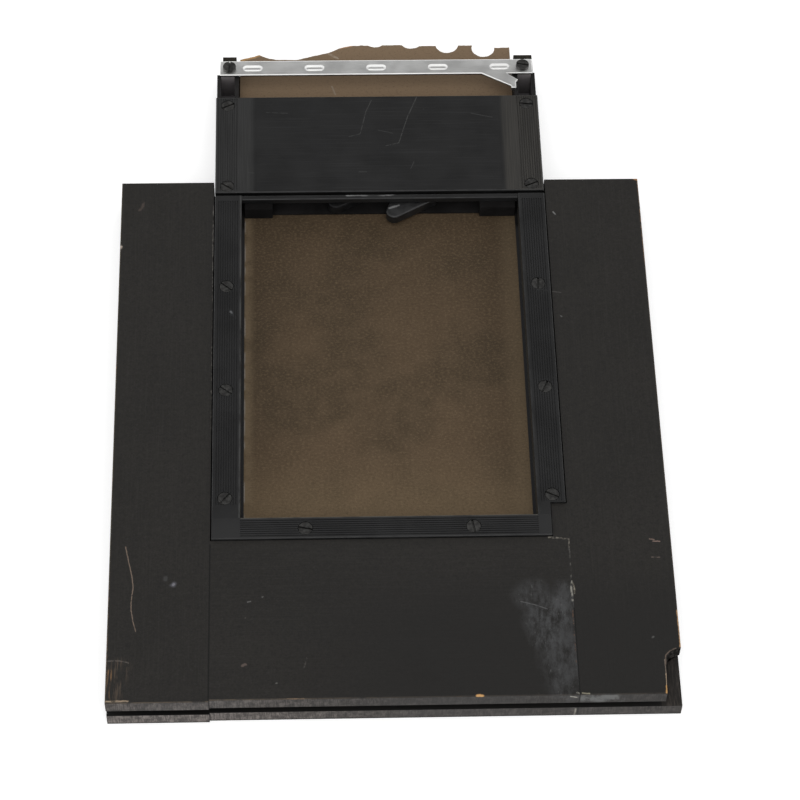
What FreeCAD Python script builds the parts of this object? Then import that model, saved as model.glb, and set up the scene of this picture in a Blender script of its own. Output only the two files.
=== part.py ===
"""Sheet film holder in a wooden adapter board.

Frame: X to the right, Y along the way the dark slide is drawn, Z up towards the lens.
The origin is under the centre of the picture window, on the flat back of the board.
Every length is in millimetres.
"""
import FreeCAD, Part
import math
import os
import Sketcher

Vector = FreeCAD.Vector

# alias, value, what it is
SIZES = [
    ("board_left", 116.6, "centre line to the left stile's outer edge"),
    ("board_right", 117.6, "centre line to the right stile's outer edge"),
    ("board_low", -168.4, "lower edge of the board"),
    ("board_high", 94.7, "upper edge of the board"),
    ("board_thick", 18.0, "three-quarter inch board, planed"),
    ("stile_inner", 75.0, "centre line to the inner edge of a stile"),
    ("rail_high", -94.1, "upper edge of the board's bottom rail"),
    ("left_stile_proud", 0.7, "the left stile stands past the rail's lower edge"),
    ("groove_z", 6.9, "underside of the edge groove"),
    ("groove_high", 4.2, "height of the edge groove"),
    ("groove_deep", 6.0, "depth of the edge groove"),
    ("lug_inner", 68.3, "inner edge of the right stile's lug"),
    ("lug_high", -78.0, "upper edge of the right stile's lug"),
    ("edge_break", 0.4, "broken edge of painted wood"),
    ("spline_reach", 7.0, "how far a joint spline enters each member"),
    ("spline_low", -154.0, "lower end of the joint splines"),
    ("spline_high", -106.0, "upper end of the joint splines"),
    ("spline_z", 7.5, "underside of the joint splines"),
    ("spline_thick", 3.0, "thickness of the joint splines"),
    ("back_thick", 1.5, "back plate"),
    ("back_flange_x", 84.0, "centre line to the edge of the back plate's flange"),
    ("back_low", -103.0, "lower edge of the back plate"),
    ("back_screw_inset", 4.5, "back plate's edge to its screws"),
    ("back_end_screw_x", 40.0, "centre line to the screws in the back plate's lower edge"),
    ("back_hole_high", 11.0, "top of the holes for the back plate's screws"),
    ("back_shank_high", 10.5, "tip of the back plate's screws"),
    ("back_recess", 0.9, "depth of the recess for a thin screw head"),
    ("back_head_low", 0.05, "the thin heads lie this far inside the back face"),
    ("back_slot_high", 0.5, "top of the slot in a thin screw head"),
    ("easy_gap", 0.2, "easy fit between parts of the holder"),
    ("lug_gap", 0.3, "gap between the frame and the stile's lug"),
    ("holder_half", 74.5, "centre line to the outer edge of the frame rails"),
    ("holder_low", -93.7, "lower edge of the holder"),
    ("window_half_x", 62.5, "half the window's width"),
    ("window_half_y", 83.7, "half the window's height"),
    ("frame_top", 19.0, "front face of the frame rails and cover"),
    ("frame_thick", 3.0, "thickness of the frame rails and cover"),
    ("skirt_thick", 1.5, "inner skirt of a frame rail"),
    ("crossbar_wide", 2.4, "crossbar above the window"),
    ("corner_foot", 3.3, "how far the corner blocks reach into the window"),
    ("groove_margin", 1.6, "window's edge to the first fine groove of a side rail"),
    ("groove_end_low", 6.5, "side rail's lower end to its fine grooves"),
    ("groove_end_high", 3.0, "side rail's upper end to its fine grooves"),
    ("end_margin", 1.0, "edge of a rail or the cover to its fine grooves"),
    ("cover_strip", 9.9, "cover's edge to the first of its lengthwise fine grooves"),
    ("cover_low", 87.9, "near edge of the trap cover"),
    ("cover_high", 143.4, "far edge of the trap cover"),
    ("channel_outer", 74.2, "outer face of a side channel"),
    ("channel_inner", 64.2, "inner face of a side channel"),
    ("channel_wall", 1.8, "wall of a side channel"),
    ("channel_floor", 2.0, "floor of a side channel"),
    ("channel_high", 159.3, "far end of the side channels"),
    ("plug_low", 157.0, "near face of the end blocks inside the channels"),
    ("bottom_inner", -85.4, "inner face of the bottom channel"),
    ("slot_end", -88.5, "floor of the slide's pocket in the bottom channel"),
    ("block_high", 165.5, "far face of the end blocks"),
    ("foot_inner", 62.6, "inner edge of the end blocks' feet under the slide"),
    ("foot_clear", 0.6, "gap between the slide and the end blocks' feet"),
    ("plug_high", 169.7, "far face of the end blocks' lips"),
    ("block_top", 17.5, "seat of the end strip"),
    ("plug_top", 16.5, "top of the end blocks' lips"),
    ("slide_half", 63.75, "half the dark slide's width"),
    ("slide_low", -87.5, "inner end of the dark slide"),
    ("slide_z", 8.0, "underside of the dark slide"),
    ("slide_thick", 1.0, "dark slide"),
    ("slide_gap", 0.3, "clearance over and under the dark slide"),
    ("gate_half_x", 61.3, "half the gate plate's opening"),
    ("gate_thick", 1.0, "gate plate"),
    ("gate_low", 82.2, "near edge of the gate plate's wide end"),
    ("gate_high", 106.9, "far edge of the gate plate"),
    ("trap_low", 107.2, "near face of the light-trap bars"),
    ("velvet_gap", 0.15, "clearance between the velvets and the slide"),
    ("front_velvet_thick", 1.45, "front velvet"),
    ("rear_velvet_thick", 1.25, "rear velvet"),
    ("trap_bar_top", 15.0, "top of the front light-trap bar"),
    ("spring_thick", 0.3, "light-trap leaf spring"),
    ("spring_rise", 0.65, "bow of the leaf spring"),
    ("spring_flat_x", 20.0, "centre line to the end of the spring's flat middle"),
    ("spring_end_x", 52.0, "centre line to the spring's ends"),
    ("spring_low", 119.0, "near edge of the leaf spring"),
    ("spring_wide", 12.0, "width of the leaf spring"),
    ("velvet_inset", 1.0, "edge of a trap bar to its velvet"),
    ("septum_top", 6.0, "film side of the septum panel"),
    ("film_thick", 0.2, "sheet film"),
    ("film_half_x", 63.5, "half the film's 127 mm width"),
    ("film_low", -84.5, "lower end of the film"),
    ("film_long", 178.0, "length of the film"),
    ("guide_lip", 61.9, "inner edge of the film guides"),
    ("guide_lip_gap", 0.4, "room for the film under the guides' lips"),
    ("guide_play", 0.1, "play of the film and the guides in the channels"),
    ("screw_x", 69.0, "centre line to the side screws"),
    ("head_radius", 3.0, "slotted screw head"),
    ("head_high", 1.6, "height of a slotted screw head"),
    ("bore_radius", 3.2, "counterbore round a screw head"),
    ("bore_deep", 1.8, "depth of a counterbore"),
    ("shank_radius", 1.4, "screw shank"),
    ("pilot_radius", 1.45, "hole for a screw shank"),
    ("pilot_deep", 9.5, "depth of a screw's hole under its seat"),
    ("shank_long", 9.0, "length of a screw shank"),
    ("slot_wide", 0.8, "slot in a screw head"),
    ("slot_deep", 0.9, "depth of the slot in a screw head"),
    ("screw_block_half", 3.5, "half the length of a screw block"),
    ("bottom_screw_x", 35.2, "centre line to the bottom rail's screws"),
    ("bottom_screw_y", -88.9, "bottom rail's screws"),
    ("fine_groove_wide", 0.45, "fine decorative groove"),
    ("fine_groove_deep", 0.3, "depth of a fine decorative groove"),
    ("fine_groove_pitch", 1.05, "pitch of the fine decorative grooves"),
    ("strip_left", -72.9, "left end of the aluminium strip"),
    ("strip_right", 73.0, "right end of the aluminium strip"),
    ("strip_low", 156.9, "near edge of the aluminium strip"),
    ("strip_wide", 8.6, "width of the aluminium strip"),
    ("strip_thick", 1.2, "thickness of the aluminium strip"),
    ("strip_screw_x", 68.4, "centre line to the strip's screws"),
    ("lug_left", 62.6, "left side of the tab's turned-down lug"),
    ("lug_right", 65.0, "right side of the tab's turned-down lug"),
    ("lug_near", 148.2, "near face of the tab's turned-down lug"),
    ("lug_thick", 1.0, "thickness of the tab's turned-down lug"),
    ("lug_clear", 0.3, "gap under the tab's turned-down lug"),
    ("strip_screw_y", 160.9, "strip's screws"),
    ("oval_y", 160.9, "row of embossed ovals"),
    ("oval_pitch", 28.8, "pitch of the embossed ovals"),
    ("oval_half_long", 4.7, "half the length of an embossed oval"),
    ("oval_half_wide", 1.8, "half the width of an embossed oval"),
    ("oval_high", 0.7, "height of an embossed oval"),
    ("lever_pivot_x", 9.9, "centre line to a lever's pivot"),
    ("lever_pivot_y", 90.0, "pivots of the levers"),
    ("lever_z", 10.6, "underside of the levers"),
    ("lever_thick", 4.7, "thickness of the levers"),
    ("lever_nose", 3.7, "radius of a lever's nose"),
    ("lever_hub", 2.9, "radius of a lever's hub"),
    ("lever_tip", 0.9, "radius of a lever's tail"),
    ("lever_round", 0.8, "rounding of a lever's top edge"),
    ("pin_radius", 1.5, "lever pin"),
    ("pin_play", 0.06, "radial play of a lever on its pin"),
    ("pin_head_radius", 2.3, "head of a lever pin"),
    ("pin_head_z", 15.5, "underside of a lever pin's head"),
    ("pin_top", 15.9, "top of a lever pin's head"),
]

# The slide's torn end, from its left edge to its right edge
TORN_END = [
    (-63.75, 174.8), (-57.0, 176.8), (-54.9, 177.8), (-52.1, 176.2), (-47.4, 174.7),
    (-37.0, 174.5), (-28.5, 176.9), (-21.3, 179.0), (-16.1, 181.7), (-11.8, 182.9),
    (11.0, 183.1), (22.0, 182.4), (51.2, 182.7), (56.0, 181.0), (63.75, 181.2),
]
# Old rivet holes that the tear runs through: centre across, centre along
TORN_HOLES = [(0.0, 187.3), (17.1, 186.3), (34.1, 183.5), (51.2, 180.9)]
TORN_HOLE_RADIUS = 5.4

# The piece broken off the upper lip of the right stile, a loop past the board's corner
CHIP = [
    (120.0, -146.4), (116.6, -147.6), (113.4, -149.2), (111.5, -151.4),
    (110.9, -155.0), (110.5, -162.0), (110.3, -172.0), (120.0, -172.0),
]

# The spring tab's outline between the strip's near edge and its lug, left to right
TAB_START = 49.1
TAB_SHOULDER = (62.6, 149.3)
TAB_END = [(65.0, 151.6), (66.0, 153.2)]
TAB_ROOT = 60.9

# Inner and outer faces of the end blocks, and of the blocks in the window's top corners
LEFT_END_BLOCK = (65.2, 71.6)
RIGHT_END_BLOCK = (64.7, 73.3)
LEFT_CORNER_BLOCK = (-61.2, -48.6)
RIGHT_CORNER_BLOCK = (45.2, 61.2)

# Cuts run this far past the surface that they open
OVERSHOOT = 5.0

FRAME_SCREW_Y = (-73.9, -19.2, 35.8)
COVER_SCREW_Y = (91.5, 138.4)
BACK_SCREW_Y = (-60.0, 15.0, 85.0)

# Fine grooves along each side rail or cover edge and along the bottom rail; embossed ovals
SIDE_GROOVES = 9
BOTTOM_GROOVES = 8
OVALS = 5

# Slot directions in degrees: side screws upwards, then the bottom screw of that side
FRAME_SLOT_TURNS = {"left": (50, -38, -40, -12), "right": (-27, 65, 86, -80)}
COVER_SLOT_TURNS = {"left": (-35, 25), "right": (24, -7)}
STRIP_SLOT_TURNS = {"left": 88, "right": -12}
BACK_SLOT_TURN = 37

doc = FreeCAD.newDocument("sheet_film_holder")
sheet = doc.addObject("Spreadsheet::Sheet", "Sizes")


class Size:
    """A number together with the sheet expression that drives it."""

    def __init__(self, value, text=None):
        self.value = float(value)
        self.text = text or repr(float(value))

    def combine(self, other, sign, left_first=True):
        other = as_size(other)
        first, second = (self, other) if left_first else (other, self)
        value = first.value + sign * second.value
        symbol = "+" if sign > 0 else "-"
        return Size(value, f"({first.text} {symbol} {second.text})")

    def __add__(self, other):
        return self.combine(other, 1)

    def __radd__(self, other):
        return self.combine(other, 1, False)

    def __sub__(self, other):
        return self.combine(other, -1)

    def __rsub__(self, other):
        return self.combine(other, -1, False)

    def __mul__(self, factor):
        return Size(self.value * factor, f"({self.text} * {float(factor)!r})")

    __rmul__ = __mul__

    def __neg__(self):
        return self * -1


def as_size(number):
    return number if isinstance(number, Size) else Size(number)


class Sheet:
    """The sheet's cells as attributes."""


S = Sheet()
for row, (alias, number, note) in enumerate(SIZES, start=1):
    sheet.set(f"A{row}", alias)
    sheet.set(f"B{row}", repr(number))
    sheet.set(f"C{row}", note)
    sheet.setAlias(f"B{row}", alias)
    setattr(S, alias, Size(number, f"Sizes.{alias}"))
doc.recompute()

frame_seat = S.frame_top - S.frame_thick
gate_z = S.slide_z + S.slide_thick + S.slide_gap
gate_top = gate_z + S.gate_thick
strip_top = S.block_top + S.strip_thick


def bind(thing, prop, size):
    """Drive one property of an object from the sheet."""
    size = as_size(size)
    if "." not in prop:
        setattr(thing, prop, size.value)
    thing.setExpression(prop, size.text)


def rectangle(x_low, x_high, y_low, y_high):
    return [(x_low, y_low), (x_high, y_low), (x_high, y_high), (x_low, y_high)]


def mirrored(points, side):
    """The same outline for the right (side 1) or the left (side -1)."""
    return [(as_size(across) * side, up) for across, up in points]


def new_body(label):
    body = doc.addObject("PartDesign::Body", label)
    body.Label = label
    return body


def new_sketch(body, name, role, offset):
    sketch = body.newObject("Sketcher::SketchObject", name)
    plane = next(item for item in body.Origin.OriginFeatures if item.Role == role)
    sketch.AttachmentSupport = [(plane, "")]
    sketch.MapMode = "FlatFace"
    offset = as_size(offset)
    sketch.AttachmentOffset = FreeCAD.Placement(Vector(0, 0, offset.value), FreeCAD.Rotation())
    sketch.setExpression("AttachmentOffset.Base.z", offset.text)
    return sketch


def locate(sketch, index, position, across, up):
    """Hold one point of a sketch at a distance across and up from the origin."""
    for kind, size in (("DistanceX", as_size(across)), ("DistanceY", as_size(up))):
        rule = Sketcher.Constraint(kind, -1, 1, index, position, size.value)
        number = sketch.addConstraint(rule)
        sketch.setExpression(f"Constraints[{number}]", size.text)


def draw_outline(sketch, points):
    first = sketch.GeometryCount
    places = [Vector(as_size(across).value, as_size(up).value, 0) for across, up in points]
    for start, end in zip(places, places[1:] + places[:1]):
        sketch.addGeometry(Part.LineSegment(start, end), False)
    for step, (across, up) in enumerate(points):
        following = first + (step + 1) % len(points)
        sketch.addConstraint(Sketcher.Constraint("Coincident", first + step, 2, following, 1))
        locate(sketch, first + step, 1, across, up)


def draw_circle(sketch, across, up, radius):
    radius = as_size(radius)
    centre = Vector(as_size(across).value, as_size(up).value, 0)
    index = sketch.addGeometry(Part.Circle(centre, Vector(0, 0, 1), radius.value), False)
    number = sketch.addConstraint(Sketcher.Constraint("Radius", index, radius.value))
    sketch.setExpression(f"Constraints[{number}]", radius.text)
    locate(sketch, index, 3, across, up)


def feature(body, kind, name, role, offset, length, outlines=(), circles=()):
    """A Pad or Pocket from outlines and circles drawn on one of the body's own planes."""
    sketch = new_sketch(body, name + "_sketch", role, offset)
    for points in outlines:
        draw_outline(sketch, points)
    for across, up, radius in circles:
        draw_circle(sketch, across, up, radius)
    step = body.newObject("PartDesign::" + kind, name)
    step.Profile = sketch
    bind(step, "Length", length)
    body.Tip = step
    return step


def pad_up(body, name, z_low, z_high, outlines=(), circles=()):
    return feature(body, "Pad", name, "XY_Plane", z_low, as_size(z_high) - z_low, outlines, circles)


def cut_down(body, name, z_high, depth, outlines=(), circles=()):
    return feature(body, "Pocket", name, "XY_Plane", z_high, depth, outlines, circles)


def pad_along_y(body, name, y_low, y_high, outline):
    """The outline is across X and up Z; the XZ plane's normal points along -Y."""
    return feature(body, "Pad", name, "XZ_Plane", -as_size(y_high), as_size(y_high) - y_low, [outline])


def pad_along_x(body, name, x_low, x_high, outline):
    """The outline is across Y and up Z."""
    return feature(body, "Pad", name, "YZ_Plane", x_low, as_size(x_high) - x_low, [outline])


def break_edges(body, name, size, wanted):
    """Chamfer the edges of the body's last feature that the test picks out."""
    doc.recompute()
    base = body.Tip
    names = [f"Edge{i}" for i, edge in enumerate(base.Shape.Edges, start=1) if wanted(edge)]
    step = body.newObject("PartDesign::Chamfer", name)
    step.Base = (base, names)
    bind(step, "Size", size)
    body.Tip = step


def straight_at(z):
    """A test for straight edges that lie at one height."""
    height = as_size(z).value

    def test(edge):
        flat = all(abs(corner.Z - height) < 1e-4 for corner in edge.Vertexes)
        return flat and edge.Curve.TypeId == "Part::GeomLine"
    return test


def on_box(edge, x_low=None, x_high=None, y_low=None, y_high=None):
    """True when every corner of the edge lies on one of the given outer limits."""
    def near(corner, limit, axis):
        return limit is not None and abs(getattr(corner, axis) - as_size(limit).value) < 1e-4
    sides = ((x_low, "X"), (x_high, "X"), (y_low, "Y"), (y_high, "Y"))
    return any(all(near(corner, limit, axis) for corner in edge.Vertexes) for limit, axis in sides)


def box(label, x_low, x_high, y_low, y_high, z_low, z_high):
    """A plain block as a Part primitive."""
    block = doc.addObject("Part::Box", label)
    block.Label = label
    bind(block, "Length", as_size(x_high) - x_low)
    bind(block, "Width", as_size(y_high) - y_low)
    bind(block, "Height", as_size(z_high) - z_low)
    bind(block, "Placement.Base.x", x_low)
    bind(block, "Placement.Base.y", y_low)
    bind(block, "Placement.Base.z", z_low)
    return block


def cylinder(label, radius, z_low, z_high):
    rod = doc.addObject("Part::Cylinder", label)
    bind(rod, "Radius", radius)
    bind(rod, "Height", as_size(z_high) - z_low)
    bind(rod, "Placement.Base.z", z_low)
    return rod


def boolean(kind, label, base, tool):
    result = doc.addObject("Part::" + kind, label)
    result.Label = label
    result.Base = base
    result.Tool = tool
    return result


def group(label, members):
    """Several separate solids that share one node."""
    result = doc.addObject("Part::Compound", label)
    result.Label = label
    result.Links = members
    return result


# ---------------------------------------------------------------- wooden board

def outer_edge(side):
    return S.board_right if side > 0 else S.board_left


def stile_grooves(body, side):
    """The groove along a stile's outer edge and its lower end."""
    top = S.groove_z + S.groove_high
    outer = outer_edge(side)
    along = mirrored(rectangle(outer - S.groove_deep, outer + OVERSHOOT,
                               S.board_low - OVERSHOOT, S.board_high + OVERSHOOT), side)
    cut_down(body, "edge_groove", top, S.groove_high, [along])
    across = mirrored(rectangle(S.stile_inner - OVERSHOOT, outer + OVERSHOOT,
                                S.board_low - OVERSHOOT, S.board_low + S.groove_deep), side)
    cut_down(body, "end_groove", top, S.groove_high, [across])


def stile_rebate_and_mortise(body, side):
    """The rebate for the back plate and the pocket for the joint spline."""
    rebate = mirrored(rectangle(S.lug_inner - OVERSHOOT, S.back_flange_x,
                                S.back_low, S.board_high + OVERSHOOT), side)
    cut_down(body, "back_rebate", S.back_thick, S.back_thick, [rebate])
    pocket = mirrored(rectangle(S.stile_inner - OVERSHOOT, S.stile_inner + S.spline_reach,
                                S.spline_low, S.spline_high), side)
    cut_down(body, "spline_pocket", S.spline_z + S.spline_thick, S.spline_thick, [pocket])
    holes = [((S.back_flange_x - S.back_screw_inset) * side, y, S.pilot_radius) for y in BACK_SCREW_Y]
    cut_down(body, "back_screw_holes", S.back_hole_high, S.back_hole_high, circles=holes)


def outer_top_edges(side, y_low):
    top = straight_at(S.board_thick)
    limits = {"y_low": y_low, "y_high": S.board_high}
    limits["x_high" if side > 0 else "x_low"] = outer_edge(side) * side
    return lambda edge: top(edge) and on_box(edge, **limits)


def left_stile():
    body = new_body("left_stile")
    low = S.board_low - S.left_stile_proud
    pad_up(body, "board", 0, S.board_thick,
           [rectangle(-S.board_left, -S.stile_inner, low, S.board_high)])
    break_edges(body, "top_edges", S.edge_break, outer_top_edges(-1, low))
    stile_grooves(body, -1)
    stile_rebate_and_mortise(body, -1)
    return body


def right_stile():
    body = new_body("right_stile")
    outline = [
        (S.stile_inner, S.board_low), (S.board_right, S.board_low),
        (S.board_right, S.board_high), (S.stile_inner, S.board_high),
        (S.stile_inner, S.lug_high), (S.lug_inner, S.lug_high),
        (S.lug_inner, S.rail_high), (S.stile_inner, S.rail_high),
    ]
    pad_up(body, "board", 0, S.board_thick, [outline])
    break_edges(body, "top_edges", S.edge_break, outer_top_edges(1, S.board_low))
    stile_grooves(body, 1)
    stile_rebate_and_mortise(body, 1)
    groove_top = S.groove_z + S.groove_high
    top = S.board_thick + OVERSHOOT
    cut_down(body, "broken_corner", top, top - groove_top, [CHIP])
    return body


def board_bottom_rail():
    body = new_body("board_bottom_rail")
    pad_up(body, "board", 0, S.board_thick,
           [rectangle(-S.stile_inner, S.stile_inner, S.board_low, S.rail_high)])
    top = straight_at(S.board_thick)
    break_edges(body, "top_edge", S.edge_break, lambda edge: top(edge) and on_box(edge, y_low=S.board_low))
    cut_down(body, "edge_groove", S.groove_z + S.groove_high, S.groove_high,
             [rectangle(-S.stile_inner - OVERSHOOT, S.stile_inner + OVERSHOOT,
                        S.board_low - OVERSHOOT, S.board_low + S.groove_deep)])
    for side, name in ((-1, "left"), (1, "right")):
        pocket = mirrored(rectangle(S.stile_inner - S.spline_reach, S.stile_inner + OVERSHOOT,
                                    S.spline_low, S.spline_high), side)
        cut_down(body, name + "_spline_pocket", S.spline_z + S.spline_thick, S.spline_thick, [pocket])
    cut_down(body, "back_rebate", S.back_thick, S.back_thick,
             [rectangle(-S.stile_inner - OVERSHOOT, S.stile_inner + OVERSHOOT,
                        S.back_low, S.rail_high + OVERSHOOT)])
    holes = [(S.back_end_screw_x * side, S.back_low + S.back_screw_inset, S.pilot_radius)
             for side in (-1, 1)]
    cut_down(body, "back_screw_holes", S.back_hole_high, S.back_hole_high, circles=holes)
    return body


def joint_spline(side, label):
    centre = S.stile_inner * side
    return box(label, centre - S.spline_reach, centre + S.spline_reach,
               S.spline_low, S.spline_high, S.spline_z, S.spline_z + S.spline_thick)


# ---------------------------------------------------------------- holder body

def channel_profile(side):
    """Open-topped U section, across X and up Z."""
    outer, inner = S.channel_outer, S.channel_inner
    floor = S.back_thick + S.channel_floor
    section = [
        (inner, S.back_thick), (outer, S.back_thick), (outer, frame_seat),
        (outer - S.channel_wall, frame_seat), (outer - S.channel_wall, floor),
        (inner + S.channel_wall, floor), (inner + S.channel_wall, frame_seat), (inner, frame_seat),
    ]
    return mirrored(section, side)


def side_channel(side, label, y_low):
    body = new_body(label)
    pad_along_y(body, "section", y_low, S.channel_high, channel_profile(side))
    return body


def bottom_channel():
    body = new_body("bottom_channel")
    low = S.holder_low + S.easy_gap
    pad_up(body, "block", S.back_thick, frame_seat,
           [rectangle(S.easy_gap - S.channel_inner, S.lug_inner - S.lug_gap, low, S.bottom_inner)])
    gap_low = S.slide_z - S.slide_gap
    cut_down(body, "slide_pocket", gate_z, gate_z - gap_low,
             [rectangle(-S.channel_inner - OVERSHOOT, S.channel_inner,
                        S.slot_end, S.bottom_inner + OVERSHOOT)])
    holes = [(S.bottom_screw_x * side, S.bottom_screw_y, S.pilot_radius) for side in (-1, 1)]
    cut_down(body, "screw_holes", frame_seat, S.pilot_deep, circles=holes)
    return body


def back_plate():
    body = new_body("back_plate")
    wide, narrow = S.back_flange_x, S.channel_outer
    outline = [
        (-wide, S.back_low), (wide, S.back_low), (wide, S.board_high), (narrow, S.board_high),
        (narrow, S.block_high), (-narrow, S.block_high), (-narrow, S.board_high), (-wide, S.board_high),
    ]
    pad_up(body, "plate", 0, S.back_thick, [outline])
    places = back_screw_places()
    cut_down(body, "screw_holes", S.back_thick, S.back_thick,
             circles=[(x, y, S.pilot_radius) for x, y in places])
    cut_down(body, "head_recesses", S.back_recess, S.back_recess,
             circles=[(x, y, S.bore_radius) for x, y in places])
    return body


def back_screw_places():
    sides = [((S.back_flange_x - S.back_screw_inset) * side, as_size(y))
             for y in BACK_SCREW_Y for side in (-1, 1)]
    ends = [(S.back_end_screw_x * side, S.back_low + S.back_screw_inset) for side in (-1, 1)]
    return sides + ends


def end_block(side, label, faces):
    """Closes a channel, carries the end strip and stands a little past it as a lip."""
    inner, outer = faces
    body = new_body(label)
    block = mirrored(rectangle(inner, outer, S.channel_high, S.block_high), side)
    pad_up(body, "block", S.back_thick, S.block_top, [block])
    plug = mirrored(rectangle(S.channel_inner + S.channel_wall, S.channel_outer - S.channel_wall,
                              S.plug_low, S.channel_high), side)
    pad_up(body, "plug", S.back_thick + S.channel_floor, S.block_top, [plug])
    cheek = mirrored(rectangle(S.channel_inner, inner, S.channel_high, S.block_high), side)
    pad_up(body, "cheek", S.back_thick, frame_seat, [cheek])
    foot = mirrored(rectangle(S.foot_inner, S.channel_inner, S.channel_high, S.block_high), side)
    pad_up(body, "foot", S.back_thick, S.slide_z - S.foot_clear, [foot])
    lip = mirrored(rectangle(inner, outer, S.block_high, S.plug_high), side)
    pad_up(body, "lip", S.back_thick, S.plug_top, [lip])
    cut_down(body, "screw_hole", S.block_top, S.pilot_deep,
             circles=[(S.strip_screw_x * side, S.strip_screw_y, S.pilot_radius)])
    return body


def screw_blocks(side, label):
    """One block in the channel under each side screw."""
    inner = S.channel_inner + S.channel_wall
    outer = S.channel_outer - S.channel_wall
    low, high = (inner, outer) if side > 0 else (-outer, -inner)
    members = []
    for number, y in enumerate(FRAME_SCREW_Y + COVER_SCREW_Y, start=1):
        block = box(f"{label}_block_{number}", low, high, as_size(y) - S.screw_block_half,
                    as_size(y) + S.screw_block_half, S.back_thick + S.channel_floor, frame_seat)
        hole = cylinder(f"{label}_hole_{number}", S.pilot_radius,
                        frame_seat - S.pilot_deep, frame_seat + OVERSHOOT)
        bind(hole, "Placement.Base.x", S.screw_x * side)
        bind(hole, "Placement.Base.y", y)
        members.append(boolean("Cut", f"{label}_cut_{number}", block, hole))
    return group(label, members)


# ---------------------------------------------------------------- picture frame

def fine_grooves(first, count, low, high, along_y=True):
    """Outlines of fine parallel grooves, side by side from one edge."""
    outlines = []
    for number in range(count):
        start = as_size(first) + S.fine_groove_pitch * number
        if along_y:
            outlines.append(rectangle(start, start + S.fine_groove_wide, low, high))
        else:
            outlines.append(rectangle(low, high, start, start + S.fine_groove_wide))
    return outlines


def counterbores(body, places):
    cut_down(body, "counterbores", S.frame_top, S.bore_deep,
             circles=[(x, y, S.bore_radius) for x, y in places])
    cut_down(body, "screw_holes", S.frame_top - S.bore_deep, S.frame_thick,
             circles=[(x, y, S.pilot_radius) for x, y in places])


def side_frame_rail(side, label):
    """Front rail with its inner skirt; the right one stops short round the missing corner."""
    body = new_body(label)
    top = S.window_half_y + S.crossbar_wide
    low = -S.window_half_y
    if side > 0:
        outline = [
            (S.window_half_x, low), (S.lug_inner - S.lug_gap, low),
            (S.lug_inner - S.lug_gap, S.lug_high + S.easy_gap),
            (S.holder_half, S.lug_high + S.easy_gap), (S.holder_half, top), (S.window_half_x, top),
        ]
    else:
        outline = mirrored(rectangle(S.window_half_x, S.holder_half, low, top), side)
    pad_up(body, "rail", frame_seat, S.frame_top, [outline])
    outer = S.holder_half * side
    limits = {"x_high": outer} if side > 0 else {"x_low": outer}
    at_top = straight_at(S.frame_top)
    break_edges(body, "outer_edge", S.edge_break, lambda edge: at_top(edge) and on_box(edge, **limits))
    skirt = mirrored(rectangle(S.window_half_x, S.window_half_x + S.skirt_thick, low, top), side)
    pad_up(body, "skirt", gate_top, frame_seat, [skirt])
    grooves = fine_grooves(S.window_half_x + S.groove_margin, SIDE_GROOVES,
                           low + S.groove_end_low, top - S.groove_end_high)
    outlines = [mirrored(points, side) for points in grooves]
    cut_down(body, "fine_grooves", S.frame_top, S.fine_groove_deep, outlines)
    counterbores(body, [(S.screw_x * side, y) for y in FRAME_SCREW_Y])
    return body


def bottom_frame_rail():
    body = new_body("bottom_frame_rail")
    pad_up(body, "rail", frame_seat, S.frame_top,
           [rectangle(-S.holder_half, S.lug_inner - S.lug_gap, S.holder_low, -S.window_half_y)])
    at_top = straight_at(S.frame_top)
    break_edges(body, "outer_edge", S.edge_break,
                lambda edge: at_top(edge) and on_box(edge, y_low=S.holder_low))
    pad_up(body, "skirt", gate_z, frame_seat,
           [rectangle(-S.window_half_x, S.window_half_x, -S.window_half_y - S.skirt_thick,
                      -S.window_half_y)])
    grooves = fine_grooves(S.holder_low + S.end_margin, BOTTOM_GROOVES,
                           -S.window_half_x, S.window_half_x, along_y=False)
    cut_down(body, "fine_grooves", S.frame_top, S.fine_groove_deep, grooves)
    counterbores(body, [(S.bottom_screw_x * side, S.bottom_screw_y) for side in (-1, 1)])
    return body


def crossbar():
    body = new_body("crossbar")
    low, high = S.window_half_y, S.window_half_y + S.crossbar_wide
    pad_up(body, "bar", frame_seat, S.frame_top,
           [rectangle(-S.window_half_x, S.window_half_x, low, high)])
    break_edges(body, "top_edges", S.edge_break, straight_at(S.frame_top))
    return body


def gate_plate():
    """U-shaped plate just above the slide, with the lever pins standing on its wide end."""
    body = new_body("gate_plate")
    outer, inner = S.channel_inner - S.easy_gap, S.gate_half_x
    low = S.bottom_inner + S.guide_play
    outline = [
        (-outer, low), (-inner, low), (-inner, S.gate_low),
        (inner, S.gate_low), (inner, low), (outer, low),
        (outer, S.gate_high), (-outer, S.gate_high),
    ]
    pad_up(body, "plate", gate_z, gate_top, [outline])
    holes = [(S.lever_pivot_x * side, S.lever_pivot_y, S.pin_radius) for side in (-1, 1)]
    cut_down(body, "pin_holes", gate_top, S.gate_thick, circles=holes)
    return body


def corner_block(label, faces):
    """Block on the gate plate whose foot comes down to the slide at the window's corner."""
    body = new_body(label)
    front, heel = S.window_half_y - S.corner_foot, S.gate_low - S.guide_play
    section = [
        (front, gate_z), (heel, gate_z), (heel, gate_top),
        (S.gate_high, gate_top), (S.gate_high, frame_seat), (front, frame_seat),
    ]
    pad_along_x(body, "block", faces[0], faces[1], section)
    return body


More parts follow.
